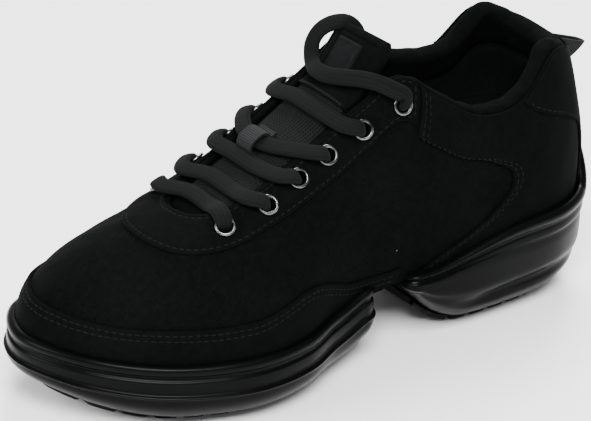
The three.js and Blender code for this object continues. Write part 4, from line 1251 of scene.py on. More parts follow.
@dataclass
class Upper:
    """The cloth wall round the foot, its lining, the padded collar and the strip under the arch."""

    finishes: Finishes
    columns: int = 360
    shell: float = 1.7
    arch_span: tuple[float, float] = (0.345, 0.520)
    arch_thickness: float = 2.2

    def build(self) -> None:
        """Makes every piece of the upper."""
        self.wall()
        self.collar()
        self.arch()

    def wall(self) -> None:
        """The shell: up the outside, over a half-round rim and down the inside, pierced for the eyelets."""
        around = (np.arange(self.columns) + 0.5) / self.columns
        pad = LAST.padded_share(around)
        thick = WALL - (WALL - self.shell) * pad
        top = 1 - 0.012 * pad
        shares = np.concatenate([np.linspace(0, 0.9, 42), np.linspace(0.91, 1, 12)])
        outside = LAST.offset(around[None], shares[:, None] * top, np.zeros((len(shares), self.columns)))
        edge = LAST.point(around, top)
        normal = LAST.normal(around, top)
        along = unit(edge - LAST.point(around, top - 0.03))
        angle = np.radians(np.linspace(0, 180, 9)[1:-1])[:, None, None]
        half = (thick / 2)[None, :, None]
        rim = edge - normal * half * (1 - np.cos(angle)) + along * 0.7 * half * np.sin(angle)
        down = shares[::-1]
        inside = LAST.offset(around[None], down[:, None] * top, -np.broadcast_to(thick, (len(down), self.columns)))
        rings = np.concatenate([outside, rim, inside])
        finish = np.ones((len(rings), self.columns), int)
        finish[: len(outside) + 6] = 0
        skin = Skin()
        closed = np.concatenate([rings, rings[:, :1]], axis=1)
        keep = unpierced(np.concatenate([closed, closed[:1]]), 3.2)
        skin.sheet(rings, wrap=(True, True), finish=finish, keep=keep)
        self.hole_walls(skin)
        skin.build("upper_wall", [self.finishes.cloth, self.finishes.lining], Slot.CLOTH, ["upper"])

    def hole_walls(self, skin: Skin) -> None:
        """Lines each eyelet hole of the wall with a short tube."""
        for side in Side:
            for row in range(len(EYELETS)):
                seat, normal = eyelet_axis(row, side)
                across = unit(np.cross(normal, UP))
                other = np.cross(normal, across)
                angle = 2 * math.pi * np.arange(20) / 20
                ring = across * np.cos(angle)[:, None] + other * np.sin(angle)[:, None]
                depths = np.array([-1.3, -4.3])
                outer = seat + 4.0 * ring[None] + normal * depths[:, None, None]
                inner = seat + 3.15 * ring[None] + normal * depths[:, None, None]
                skin.sheet(np.stack([outer[0], outer[1], inner[1], inner[0]]), wrap=(True, True), finish=0)

    def collar(self) -> None:
        """The padded roll: over the shell's top from outside to inside, and down the lining to its lower seam."""
        count = 300
        reach = LAST.corner * 1.04
        around = np.linspace(-reach, reach, count)
        pad = 1 - smooth(0.90 * LAST.corner, 1.03 * LAST.corner, LAST.from_heel(around))
        back = -(self.shell + 0.12)
        rises = np.linspace(0.44, 0.985, 22)
        behind = LAST.offset(around[None], rises[:, None], np.full((len(rises), count), back))
        lip = back + (0.35 - back) * pad
        half = (LAST.wall(around, np.ones(count)) + lip - 0.0) / 2
        edge = LAST.point(around, np.ones(count))
        normal = LAST.normal(around, np.ones(count))
        along = unit(edge - LAST.point(around, np.full(count, 0.97)))
        turn_angle = 2 * math.pi * around
        pucker = 0.18 * np.sin(38 * turn_angle) + 0.14 * np.sin(61 * turn_angle + 1.0)
        angle = np.radians(np.linspace(-25, 180, 17))[:, None]
        level = lip - half * (1 - np.cos(angle))
        tall = (0.80 * half + pucker * pad) * np.sin(angle) * (0.25 + 0.75 * pad)
        crest = edge + normal * level[..., None] + along * tall[..., None]
        down = np.linspace(0.99, 0.44, 26)
        grid_a, grid_r = np.meshgrid(around, down)
        depth = -LAST.wall(grid_a, grid_r)
        quilt = 0.28 * np.sin(2 * math.pi * 24 * grid_a) * smooth(0.5, 0.7, grid_r) * (1 - smooth(0.88, 0.98, grid_r))
        seam = 0.9 * np.exp(-(((grid_r - 0.80) / 0.016) ** 2))
        low = smooth(0.44, 0.52, grid_r)
        depth = depth - quilt + seam * LAST.padded_share(grid_a)
        depth = back + (depth - back) * (0.1 + 0.9 * low)
        inner = LAST.offset(grid_a, grid_r, depth)
        rings = np.concatenate([behind, crest, inner])
        finish = np.ones((len(rings), count - 1), int)
        finish[: len(behind) + len(crest) + 8] = 0
        skin = Skin()
        base = skin.count()
        skin.sheet(rings, wrap=(True, False), finish=finish)
        column = [base + i * count for i in range(len(rings))]
        skin.plates.append(column)
        skin.plates.append([i + count - 1 for i in column[::-1]])
        piece = skin.build("collar_pad", [self.finishes.cloth, self.finishes.lining], Slot.LINING, ["upper"], 60)

    def arch(self) -> None:
        """The strip that closes the wall between the two sole units, a slab that follows the bed."""
        x = LAST.length * np.linspace(*self.arch_span, 40)
        low = LAST.bed(x) + GAP + 0.05
        outer = LAST.foot.at(LAST.around_at(LAST.foot, x, Side.OUTER))[:, 1] - 0.35 * WALL
        inner = LAST.foot.at(LAST.around_at(LAST.foot, x, Side.INNER))[:, 1] + 0.35 * WALL
        across = np.linspace(0, 1, 30)
        y = mix(outer[:, None], inner[:, None], across)
        xs = np.broadcast_to(x[:, None], y.shape)
        sag = 0.5 * np.sin(math.pi * across)[None] * np.ones_like(y)
        bottom = np.stack([xs, y, np.broadcast_to(low[:, None], y.shape) - 0.3 * sag], axis=-1)
        top = bottom + UP * self.arch_thickness
        skin = Skin()
        skin.slab(top, bottom)
        skin.build("arch_panel", [self.finishes.cloth], Slot.CLOTH, ["upper"])


@dataclass
class Panels:
    """Mudguard, eyestay, heel foxing and backstay, with their stitches."""

    finishes: Finishes
    facing_front: float = 19.0
    facing_back: float = 17.5
    facing_end: float = 0.372
    mudguard_tall: float = 20.0
    lowest: float = 0.03
    backstay_thickness: float = 1.0

    def build(self) -> None:
        """Makes the four panels, inside to outside."""
        self.mudguard()
        self.eyestay()
        self.heel_foxing()
        self.backstay()

    def dress(self, panel: Panel, name: str, node: str, free: Sequence[str], sewn: Sequence[str],
              rows: Sequence[float], pierced: bool = False) -> None:
        """Makes a panel and its stitches.

        Args:
            panel: The panel's places.
            name: The piece's name.
            node: The CAD node that it stands for.
            free: Borders that show.
            sewn: Borders with stitches.
            rows: Distances of the stitch rows from those borders.
            pierced: Whether the eyelets' holes go through it.
        """
        top, bottom = panel.surfaces(free, sewn, rows)
        skin = Skin()
        skin.slab(top, bottom, keep=unpierced(top, 3.4) if pierced else None)
        skin.build(name, [self.finishes.suede], Slot.SUEDE, [node])
        thread = Skin()
        for border in sewn:
            for row in rows:
                line, out = panel.stitch_line(border, row, 2.0)
                Seam().sew(thread, line, out)
        thread.build(name + "_stitches", [self.finishes.thread], Slot.SUEDE, crease=80)

    def mudguard_height(self, around: Array) -> Array:
        """Height of the mudguard's edge above the feather edge: low at the toe, highest behind the ball."""
        share = LAST.foot.at(around)[..., 0] / LAST.length
        front = 0.325 * smooth(0.62, 0.74, share) + 0.075 * smooth(0.85, 0.98, share)
        return self.mudguard_tall * (0.4 + smooth(0.42, 0.66, share) - front)

    def mudguard(self) -> None:
        """The panel round the toe, from one arch to the other."""
        end = float(LAST.around_at(LAST.foot, LAST.length * 0.412, Side.OUTER))
        around = mix(end, 1 - end, edged(330.0, 1.6))
        high = LAST.rise_at_height(around, self.mudguard_height(around))
        share = 1 - edged(22.0, 1.0)[:, None]
        rise = self.lowest + (high - self.lowest)[None] * share
        panel = Panel(np.broadcast_to(around, rise.shape), rise)
        self.dress(panel, "mudguard_panel", "mudguard", ("top", "start", "end"), ("top",), (2.2, 4.6))

    def facing_width(self, around: Array) -> Array:
        """Width of the facing round the throat, a little wider at its front."""
        turn = around - np.floor(around)
        return mix(self.facing_front, self.facing_back, smooth(0.06, 0.17, np.abs(turn - 0.5)))

    def eyestay(self) -> None:
        """The U-shaped panel round the throat."""
        end = float(LAST.around_at(LAST.opening, LAST.length * self.facing_end, Side.OUTER))
        around = mix(end, 1 - end, edged(250.0, 0.75))
        low = LAST.rise_from_top(around, self.facing_width(around))
        share = edged(18.0, 0.7)[:, None]
        rise = 0.995 + (low - 0.995)[None] * share
        panel = Panel(np.broadcast_to(around, rise.shape), rise)
        self.dress(
            panel, "eyestay_panel", "eyestay", ("top", "foot", "start", "end"),
            ("top", "foot", "start", "end"), (2.0,), pierced=True,
        )

    def side_line(self, outline: Array, side: Side, count: int) -> tuple[Array, Array]:
        """A panel's edge given as on a side view, as places on the upper, evenly along it.

        Args:
            outline: Rows of a share of the length and a share of the collar's height over the heel's bed.
            side: Which side of the shoe.
            count: How many places come back.

        Returns:
            Their places round the shoe and rises, from top to bottom.
        """
        base = LAST.forefoot_bed + LAST.heel_lift
        flat = np.column_stack([outline[:, 0] * LAST.length, np.zeros(len(outline)), base + outline[:, 1] * LAST.collar])
        line = route(flat, 160)
        around, rise = LAST.seen_at(line[:, 0], line[:, 2], side)
        away = np.abs(LAST.point(around, rise) - line)[:, [0, 2]].max(axis=1)
        good = (away < 0.5) & (rise > self.lowest) & (rise < 0.99)
        around, rise = around[good], rise[good]
        run = running_length(LAST.point(around, rise))
        at = np.linspace(0, run[-1], count)
        return np.interp(at, run, around), np.interp(at, run, rise)

    def fan(self, outer: tuple[Array, Array], inner: tuple[Array, Array], shares: Array,
            inside: float, outside: float) -> Panel:
        """A panel over the heel: rows run from the outer edge over the heel's middle line to the inner edge.

        Args:
            outer: The outer edge's places and rises, from the top down.
            inner: The inner edge's.
            shares: Places along a row from the edge at 0 to the middle line at 1.
            inside: Distance of the panel's inner face from the upper.
            outside: Distance of its outer face.

        Returns:
            The panel.
        """
        count = len(outer[0])
        run = running_length(LAST.point(*outer))
        middle = 0.99 + (self.lowest - 0.99) * run / run[-1]
        halves = []
        for (around, rise), zero in ((outer, 0.0), (inner, 1.0)):
            high = np.linspace(0.99 - rise[0], 0, count)
            low = np.linspace(0, self.lowest - rise[-1], count)
            rise = rise + high**3 / max(high[0] ** 2, 1e-9) * 0 + low * 0
            a = around[:, None] + (zero - around[:, None]) * shares
            r = rise[:, None] + (middle - rise)[:, None] * shares
            halves.append((a - zero, r))
        around = np.concatenate([halves[0][0], halves[1][0][:, -2::-1]], axis=1)
        rise = np.concatenate([halves[0][1], halves[1][1][:, -2::-1]], axis=1)
        return Panel(around, rise, inside, outside)

    def heel_foxing(self) -> None:
        """The heel panel with its arms along the collar, up to the facings' ends."""
        quarter = np.array([
            [0.385, 0.76], [0.315, 0.61], [0.240, 0.50], [0.202, 0.42], [0.200, 0.34],
            [0.235, 0.23], [0.285, 0.13], [0.345, 0.04], [0.385, -0.06],
        ])
        edges = []
        for side in Side:
            around, rise = self.side_line(quarter, side, 130)
            stop = float(LAST.around_at(LAST.opening, LAST.length * self.facing_end - 2 * GAP, side))
            front = np.minimum(around, stop) if side is Side.OUTER else np.maximum(around, stop)
            drop = np.linspace(0.99, rise[0], 26)[:-1]
            around = np.concatenate([np.full(25, front[0]), front])
            edges.append((around, np.concatenate([drop, rise])))
        shares = np.concatenate([edged(90.0, 1.5)[:8] * 1.0, np.linspace(0.03, 1, 56)])
        panel = self.fan(edges[0], edges[1], np.unique(shares), GAP, GAP + PANEL)
        self.dress(panel, "heel_panel", "heel_foxing", ("start", "end", "top"), ("start", "end"), (2.2, 4.6))

    def backstay(self) -> None:
        """The strip up the heel, widening into a yoke along the collar."""
        outline = np.array([[0.178, 0.95], [0.165, 0.74], [0.080, 0.60], [0.040, 0.50], [0.030, 0.42], [0.030, -0.02]])
        edges = [self.side_line(outline, side, 120) for side in Side]
        edges = [(a, mix(r, 0.99 + (self.lowest - 0.99) * np.linspace(0, 1, 120), 0.0)) for a, r in edges]
        shares = np.concatenate([[0, 0.006, 0.015, 0.03, 0.05], np.linspace(0.08, 1, 26)])
        inside = 2 * GAP + PANEL
        panel = self.fan(edges[0], edges[1], shares, inside, inside + self.backstay_thickness)
        self.dress(panel, "backstay_strip", "backstay", ("start", "end", "top"), ("start", "end"), (1.8,))


@dataclass
class Eyelet:
    """A plated ring: a rolled flange over a barrel, turned round the eyelet's axis."""

    finishes: Finishes
    hole: float = 2.7
    flange: float = 4.2
    barrel: float = 3.2
    rise: float = 1.25
    sides: int = 48

    def build(self, row: int, side: Side) -> None:
        """Makes one ring.

        Args:
            row: Its row, front to back from 0.
            side: Its side.
        """
        depth = WALL + PANEL + GAP
        angle = np.radians(np.linspace(200, -20, 15))
        middle = (self.flange + self.hole) / 2
        half = (self.flange - self.hole) / 2
        crown = np.column_stack([middle + half * np.cos(angle), 0.45 + (self.rise - 0.45) * np.sin(angle)])
        profile = np.vstack([
            [[self.hole + 0.12, -depth]], crown, [[self.flange - 0.12, 0.0]],
            [[self.barrel + 0.15, 0.0], [self.barrel, -0.15], [self.barrel, -depth]],
        ])
        seat, normal = eyelet_axis(row, side)
        across = unit(np.cross(normal, UP))
        other = np.cross(normal, across)
        turn = 2 * math.pi * np.arange(self.sides) / self.sides
        ring = across * np.cos(turn)[:, None] + other * np.sin(turn)[:, None]
        points = seat + profile[:, None, :1] * ring[None] + normal * profile[:, None, 1:]
        skin = Skin()
        skin.sheet(points, wrap=(True, True))
        name = f"{side.name.lower()}_{row + 1}"
        skin.build("eyelet_ring_" + name, [self.finishes.metal], Slot.METAL, ["eyelet_" + name], 50)


@dataclass
class Tongue:
    """The padded tongue: under the facings, over the throat, and standing free above them."""

    finishes: Finishes
    thickness: float = 5.0
    rise: float = 30.0
    tuck: float = 12.0
    top_width: float = 34.0
    roll: float = 5.0
    slant: float = 0.6
    span: tuple[float, float] = (0.742, 0.488)
    direction: Array = field(default_factory=lambda: unit(np.array([-0.60, 0.0, 0.80])))

    def settings(self, share: Array) -> dict[str, Array]:
        """The section's settings, from the throat's front at 0 to where it leaves the facings at 1."""
        x = LAST.length * mix(self.span[0], self.span[1], share)
        return {
            "around": LAST.around_at(LAST.opening, x, Side.OUTER),
            "tuck": mix(3.5, self.tuck, smooth(0, 0.3, share)) * (1 - 0.95 * smooth(0.65, 1, share)),
            "thickness": self.thickness * mix(0.5, 1, smooth(0, 0.4, share)),
            "arch": mix(0.06, 0.16, share),
        }

    def section(self, around: Array, tuck: Array, depth: Array, arch: Array, side: int, bridge: int) -> Array:
        """Sections of the tongue: along each facing's underside, and a cubic over the throat between them.

        Args:
            around: The sections' places on the outer facing.
            tuck: How far each reaches under the facing.
            depth: Distance below the face, one for each point of a section or one for all.
            arch: How far the cubic's handles reach, as a share of the throat's width.
            side: Points along each side.
            bridge: Points over the throat.

        Returns:
            Sections by points by x, y, z.
        """
        count = 2 * side + bridge
        depth = np.broadcast_to(depth, (len(around), count))
        sides = []
        for place, part in ((around, slice(0, side)), (1 - around, slice(count - side, count))):
            low = LAST.rise_from_top(place, tuck)
            shares = np.linspace(0, 1, side)
            rises = low[:, None] + (1 - low)[:, None] * shares
            down = depth[:, part] if place is around else depth[:, part][:, ::-1]
            sides.append(LAST.plain(place[:, None], rises, -(WALL + 2 * GAP) - down))
            knee = LAST.plain(place, (low + 1) / 2, -(WALL + 2 * GAP) - down[:, -1])
            sides.append(unit(sides[-1][:, -1] - knee))
        left, slope_left, right, slope_right = sides
        a, d = left[:, -1], right[:, -1]
        width = np.linalg.norm(d - a, axis=-1, keepdims=True) * arch[:, None]
        b, c = a + slope_left * width, d + slope_right * width
        t = (np.arange(bridge) + 1)[None, :, None] / (bridge + 1)
        r = 1 - t
        over = a[:, None] * r**3 + b[:, None] * 3 * r * r * t + c[:, None] * 3 * r * t * t + d[:, None] * t**3
        drop = depth[:, side : side + bridge] - mix(depth[:, side - 1 : side], depth[:, -side : count - side + 1], t[..., 0])
        normal = unit(np.cross(np.gradient(over, axis=1), self.direction))
        normal = normal * np.sign(normal[..., 2:])
        over = over - normal * drop[..., None]
        return np.concatenate([left, over, right[:, ::-1]], axis=1)

    def crown(self, x: Array) -> Array:
        """The middle of the tongue's face at x."""
        share = np.clip((np.asarray(x, float) / LAST.length - self.span[0]) / (self.span[1] - self.span[0]), 0, 1)
        s = self.settings(np.atleast_1d(share))
        flat = self.section(s["around"], s["tuck"], np.zeros(1), s["arch"], 3, 3)
        return flat[:, 4]

    def slope(self, x: float) -> float:
        """How far the tongue slopes down to the toe at x, in radians."""
        ends = self.crown(np.array([x - 4.0, x + 4.0]))
        return math.atan2(ends[0, 2] - ends[1, 2], 8.0)

    def top_rows(self, share: Array, depth: Array, y: Array) -> Array:
        """Rows of the free top: straight across, rolled a little, sagging to both sides.

        Args:
            share: Places along the free length.
            depth: Distance below the face, rows by points.
            y: Places across, from 1 on the outer side to -1.

        Returns:
            Rows by points by x, y, z.
        """
        roll = np.radians(self.roll) * smooth(0, 0.6, share)
        d = self.direction
        across = np.stack([
            np.sin(-roll) * np.cross(d, [0, 1, 0])[0], np.cos(roll), np.sin(-roll) * np.cross(d, [0, 1, 0])[2],
        ], axis=-1)
        face = -np.cross(np.broadcast_to(d, across.shape), across)
        start = self.crown(np.array([LAST.length * self.span[1]]))[0]
        middle = start + d * (self.rise * share)[:, None]
        half = (self.top_width / 2) * mix(0.90, 1, smooth(0, 0.6, share)) * mix(1, 0.90, smooth(0.80, 1, share) ** 2)
        sag = 2.5 * y * y + depth
        return (
            middle[:, None] + across[:, None] * (y * half[:, None])[..., None] - face[:, None] * sag[..., None]
            + d * (self.slant * y * share[:, None])[..., None]
        )

    def layers(self, side: int, bridge: int) -> tuple[Array, Array, Array]:
        """The face and the back of the whole tongue: both meet at its edges, as |c|^p + |h|^p = 1.

        Args:
            side: Points under each facing.
            bridge: Points over the throat.

        Returns:
            The face, the back, and the places across from 1 to -1.
        """
        count = 2 * side + bridge
        y = np.linspace(1, -1, count)
        full = (1 - np.abs(y) ** 5) ** (1 / 5)
        share = np.linspace(0, 1, 70)
        s = self.settings(share)
        half = s["thickness"][:, None] / 2
        net = 0.35 * np.exp(-(((np.abs(y) - 0.60) / 0.035) ** 2))[None] * smooth(0.05, 0.15, share)[:, None]
        sections = [
            self.section(s["around"], s["tuck"], half * (1 + sign * full) + (net if sign < 0 else 0), s["arch"], side, bridge)
            for sign in (-1, 1)
        ]
        slope = unit(LAST.point(0.5, 0.97) - LAST.point(0.5, 1.0))
        lead = np.array([1.0, 0.72, 0.4])
        tails = [sec[:1] + slope * 7 * lead[:, None, None] - UP * 1.8 * lead[:, None, None] for sec in sections]
        up = np.concatenate([np.linspace(0, 0.85, 30)[1:], np.linspace(0.87, 1, 12)])
        taper = np.sqrt(np.clip(1 - ((up - 0.9) / 0.1).clip(0, 1) ** 2, 0.0, 1))
        half_top = self.thickness / 2 * taper[:, None]
        binding = 0.45 * np.exp(-(((np.abs(y) - 0.80) / 0.03) ** 2))[None] * np.ones((len(up), 1))
        band = 0.45 * np.exp(-(((up - 0.88) / 0.012) ** 2))[:, None] * (np.abs(y) < 0.8)
        tops = [
            self.top_rows(up, self.thickness / 2 + sign * half_top * full + (np.maximum(binding, band) if sign < 0 else 0), y)
            for sign in (-1, 1)
        ]
        # The free top starts from the last section and settles into its own form over the first rows.
        ease = (1 - smooth(0, 0.22, up))[:, None, None]
        joined = []
        for sec, top, tail in zip(sections, tops, tails):
            first = self.top_rows(np.zeros(1), np.zeros((1, count)), y)
            shift = sec[-1:] - self.top_rows(np.zeros(1), (self.thickness / 2) * np.ones((1, count)), y)
            joined.append(np.concatenate([tail, sec, top + (shift + first * 0) * ease]))
        return joined[0], joined[1], y

    def build(self) -> None:
        """Makes the tongue and its bare label."""
        face, back, y = self.layers(9, 44)
        middle = np.abs((y[1:] + y[:-1]) / 2) < 0.58
        rows = len(face) - 1
        long = np.arange(rows)
        netted = (long > 9)[:, None] & (long < 74)[:, None] & middle[None]
        skin = Skin()
        ring = np.concatenate([face, back[:, ::-1]], axis=1)
        finish = np.zeros((rows, ring.shape[1]), int)
        finish[:, : len(y) - 1] = netted
        finish[:, len(y) :] = 0
        skin.sheet(ring, wrap=(False, True), finish=finish)
        count = ring.shape[1]
        skin.plates.append(list(range(count))[::-1])
        last = (len(ring) - 1) * count
        skin.plates.append([last + i for i in range(count)])
        piece = skin.build("tongue_pad", [self.finishes.suede, self.finishes.net], Slot.LINING, ["tongue"], 70, welded=True)
        self.label()

    def label(self) -> None:
        """A bare woven label on the tongue's upper part, with a raised border."""
        share = np.linspace(0.28, 0.80, 44)
        y = np.linspace(0.42, -0.46, 46)
        u, v = np.meshgrid(np.linspace(-1, 1, len(y)), np.linspace(-1, 1, len(share)))
        border = np.maximum(np.abs(u), np.abs(v))
        thick = 0.55 + 0.30 * smooth(0.80, 0.84, border) * (1 - smooth(0.93, 0.97, border)) - 0.35 * smooth(0.97, 1.0, border)
        top = self.top_rows(share, -thick, y)
        bottom = self.top_rows(share, np.full(thick.shape, 0.25), y)
        skin = Skin()
        skin.slab(top, bottom)
        skin.build("tongue_label", [self.finishes.label], Slot.LINING)
        thread = Skin()
        loop = self.top_rows(share, np.full(thick.shape, -0.55), y)
        normal = unit(np.cross(np.gradient(loop, axis=0), np.gradient(loop, axis=1)))
        normal = normal * np.sign(normal[..., 2:])
        for rows, cols in ((2, slice(2, -2)), (-3, slice(2, -2)), (slice(2, -2), 2), (slice(2, -2), -3)):
            Seam(1.9, 1.4, 0.45, 0.28).sew(thread, loop[rows, cols], normal[rows, cols])
        thread.build("label_stitches", [self.finishes.thread], Slot.LINING, crease=80)


# The free lace end, as in the part's source: from the outer top eyelet over the tongue and down behind it.
LACE_END = np.array([
    [103.1, 28.2, 112.6], [106.6, 26.0, 115.2], [110.9, 21.6, 117.6], [115.2, 15.8, 118.2], [118.8, 9.2, 117.2],
    [120.7, 1.4, 115.6], [120.0, -6.8, 114.8], [117.2, -12.6, 114.8], [114.9, -16.2, 116.6], [113.4, -17.8, 119.6],
    [112.0, -17.2, 123.2], [109.8, -15.4, 126.6], [105.8, -13.0, 128.6], [101.4, -11.4, 127.8],
    [98.0, -9.8, 124.0], [97.4, -8.6, 119.2], [99.4, -7.6, 113.8],
])


@dataclass
class Laces:
    """The braided lace: its free end, its bars through the eyelets, and the keeper tape."""

    finishes: Finishes
    tongue: Tongue
    width: float = 6.9
    thick: float = 2.7
    end_width: float = 6.6
    end_girth: float = 5.0
    tip_length: float = 16.0
    end_face: tuple[float, float, float] = (0.75, 0.25, 0.60)
    keeper_row: int = 3
    keeper_shift: float = -5.0
    keeper_width: float = 9.0

    def free_end(self) -> None:
        """The loose end, with its tip."""
        seat, normal = eyelet_axis(5, Side.OUTER)
        knots = np.vstack([seat - 4.5 * normal, seat - 1.0 * normal, seat + 1.9 * normal + [0.3, 0.0, 1.2], LACE_END])
        line = route(knots, 170)
        along = unit(np.gradient(line, axis=0))
        across = unit(np.cross(along, self.end_face))
        other = np.cross(across, along)
        squeeze = smooth(0.02, 0.11, np.linspace(0, 1, len(line)))
        section = box_section(mix(4.6, self.end_width, squeeze), mix(3.4, self.thick, squeeze), 2.6, 20)
        skin = Skin()
        skin.tube(line, across, other, section)
        cord = skin.build("lace_free_end", [self.finishes.braid], Slot.BRAID, ["lace_end"], 60)
        direction = unit(LACE_END[-1] - LACE_END[-2])
        start = LACE_END[-1] + direction * GAP
        at = np.array([0.0, 0.2, 0.6, 1.2, 5.0, 10.0, 15.0, 15.6, 15.9, self.tip_length])
        radius = np.array([1.2, 1.45, 1.58, 1.6, 1.6, 1.58, 1.5, 1.38, 1.1, 0.6])
        centres = start + direction * at[:, None]
        across, other = carried(centres, np.array([0.0, 1.0, 0.0]))
        tip = Skin()
        tip.tube(centres, across, other, box_section(2 * radius, 2 * radius, 2.0, 24))
        aglet = tip.build("lace_end_tip", [self.finishes.tip], Slot.TIP, ["lace_tip"], 50)
        leaves = (seat + 1.2 * normal - [TREAD_MIDDLE * LAST.length, 0, 0]) * MM
        self.end_girth * MM

    def bar_middle(self, row: int, height: float) -> Array:
        """The middle of a bar, at a height over the tongue."""
        x = LAST.length * EYELETS[row, 0] + EYELETS[row, 3]
        return self.tongue.crown(np.array([x]))[0] + UP * height

    def bar(self, row: int) -> None:
        """One bar: up through an eyelet, across the throat and down through the other.

        Args:
            row: The bar's row, front to back from 0.
        """
        half = 1.5
        shift = self.keeper_shift if row == self.keeper_row else 0.0
        knots = []
        for side, slack in ((Side.OUTER, EYELETS[row, 2]), (Side.INNER, EYELETS[row, 4])):
            seat, normal = eyelet_axis(row, side)
            around = float(LAST.around_at(LAST.opening, LAST.length * EYELETS[row, 0] + slack, side))
            rise = float(LAST.rise_from_top(around, 1.5)[0])
            edge = LAST.offset(around, rise, GAP + PANEL + 2 * GAP + half)
            pull = unit(edge - seat)
            over = seat + normal * 2.3 + pull * 2.2
            part = [seat - normal * 5.0, seat - normal * 1.2 + pull * 0.2, over, edge]
            middle = self.bar_middle(row, half + 4 * GAP) + [0, shift + side.value * 0.75 * self.keeper_width, 0]
            knots.append([*part, middle])
        line = route(np.array(knots[0] + knots[1][::-1]), 110)
        slope = self.tongue.slope(float(self.bar_middle(row, 0.0)[0]))
        lean = np.array([math.sin(slope), 0.0, math.cos(slope)])
        run = np.linspace(0, 1, len(line))
        dive = np.minimum(run, 1 - run)
        half_way = len(line) // 2
        along = unit(np.gradient(line, axis=0))
        start = unit(np.cross(along[half_way], lean))
        ahead, _ = carried(line[half_way:], start)
        behind, _ = carried(line[half_way::-1], start)
        sides = np.concatenate([behind[:0:-1], ahead])
        other = np.cross(sides, along)
        squeeze = smooth(0.02, 0.14, dive)
        section = box_section(mix(4.6, self.width, squeeze), mix(3.4, self.thick, squeeze), 2.6, 20)
        skin = Skin()
        skin.tube(line, sides, other, section)
        skin.build(f"lace_run_{row + 1}", [self.finishes.braid], Slot.BRAID, [f"lace_bar_{row + 1}"], 60)

    def keeper(self) -> None:
        """The tape bridge over the fourth bar: an arch in the slope's plane, carried across."""
        seat = self.bar_middle(self.keeper_row, 0.0)
        slope = self.tongue.slope(float(seat[0]))
        half, top = self.width / 2 + 3 * GAP, 3.0 + 6 * GAP
        outline = np.array([
            [-half - 3.4, 0.4], [-half - 1.0, 0.55], [-half - 0.1, 1.6], [-half, 0.6 * top], [-0.62 * half, 0.96 * top],
            [0.0, top + 0.1], [0.62 * half, 0.96 * top], [half, 0.6 * top], [half + 0.1, 1.6], [half + 1.0, 0.55],
            [half + 3.4, 0.4],
        ])
        line = route(np.column_stack([outline[:, 0], np.zeros(len(outline)), outline[:, 1]]), 70)[:, [0, 2]]
        tangent = unit(np.gradient(line, axis=0))
        normal = np.column_stack([-tangent[:, 1], tangent[:, 0]])
        across = np.linspace(-1, 1, 22)
        selvedge = 0.12 * np.exp(-(((np.abs(across) - 0.93) / 0.05) ** 2))
        layers = []
        for lift in (1.0, 0.0):
            path = line[:, None] + normal[:, None] * (lift * (1.0 + selvedge))[None, :, None]
            x = seat[0] + path[..., 0] * math.cos(slope) + path[..., 1] * math.sin(slope)
            z = seat[2] - path[..., 0] * math.sin(slope) + path[..., 1] * math.cos(slope)
            y = seat[1] + self.keeper_shift + across[None] * self.keeper_width / 2 * np.ones_like(x)
            layers.append(np.swapaxes(np.stack([x, y, z], axis=-1), 0, 1))
        skin = Skin()
        skin.slab(layers[0], layers[1])
        skin.build("keeper_tape", [self.finishes.webbing], Slot.WEBBING, ["lace_keeper"], 60)

    def build(self) -> None:
        """Makes the bars and the keeper; the free end is made first, by itself."""
        for row in range(len(EYELETS) - 1):
            self.bar(row)
        self.keeper()


@dataclass
class PullLoop:
    """A woven tape folded double, sewn up the backstay, its outer fold drooping."""

    finishes: Finishes
    depth: float = 17.0
    width: float = 6.4
    tape: float = 1.3

    def build(self) -> None:
        """Makes the loop: a U seen from above, with its lower edge drawn in."""
        half = self.width / 2
        backstay_out = 2 * GAP + PANEL + 1.0
        roots = [LAST.plain(0.0, rise, backstay_out + GAP) for rise in (0.80, 0.955)]
        droops = [np.array([-0.24 * self.depth, 0, -2.4]), np.array([-self.depth, 0, -6.5])]
        turn = np.linspace(math.pi / 2, -math.pi / 2, 34)
        layers = []
        for radius in (half, half - self.tape):
            bend = np.column_stack([1 - half / self.depth + np.cos(turn) * radius / self.depth, np.sin(turn) * radius])
            straight = np.linspace(-0.14, bend[0, 0], 22)[:-1]
            plan = np.vstack([
                np.column_stack([straight, np.full(21, radius)]), bend,
                np.column_stack([straight[::-1], np.full(21, -radius)]),
            ])
            lifts = edged(14.0, 0.9, (0.0, 0.2, 0.5, 1.0))
            edge = np.minimum(lifts, 1 - lifts) * 14.0
            thin = 0.35 * (1 - np.clip(edge / 0.6, 0, 1)) ** 2 * (1 if radius == half else -1)
            rows = []
            for lift, slim in zip(lifts, thin):
                root, droop = mix(roots[0], roots[1], lift), mix(droops[0], droops[1], lift)
                bow = 1.2 * math.sin(math.pi * lift)
                point = root + plan[:, :1] * droop
                point = point + np.column_stack([-bow * plan[:, 0], plan[:, 1] * (1 - slim / radius), np.zeros(len(plan))])
                rows.append(point)
            layers.append(np.array(rows))
        skin = Skin()
        skin.slab(layers[0], layers[1])
        skin.build("heel_loop", [self.finishes.tape], Slot.BRAID, ["pull_loop"], 60)


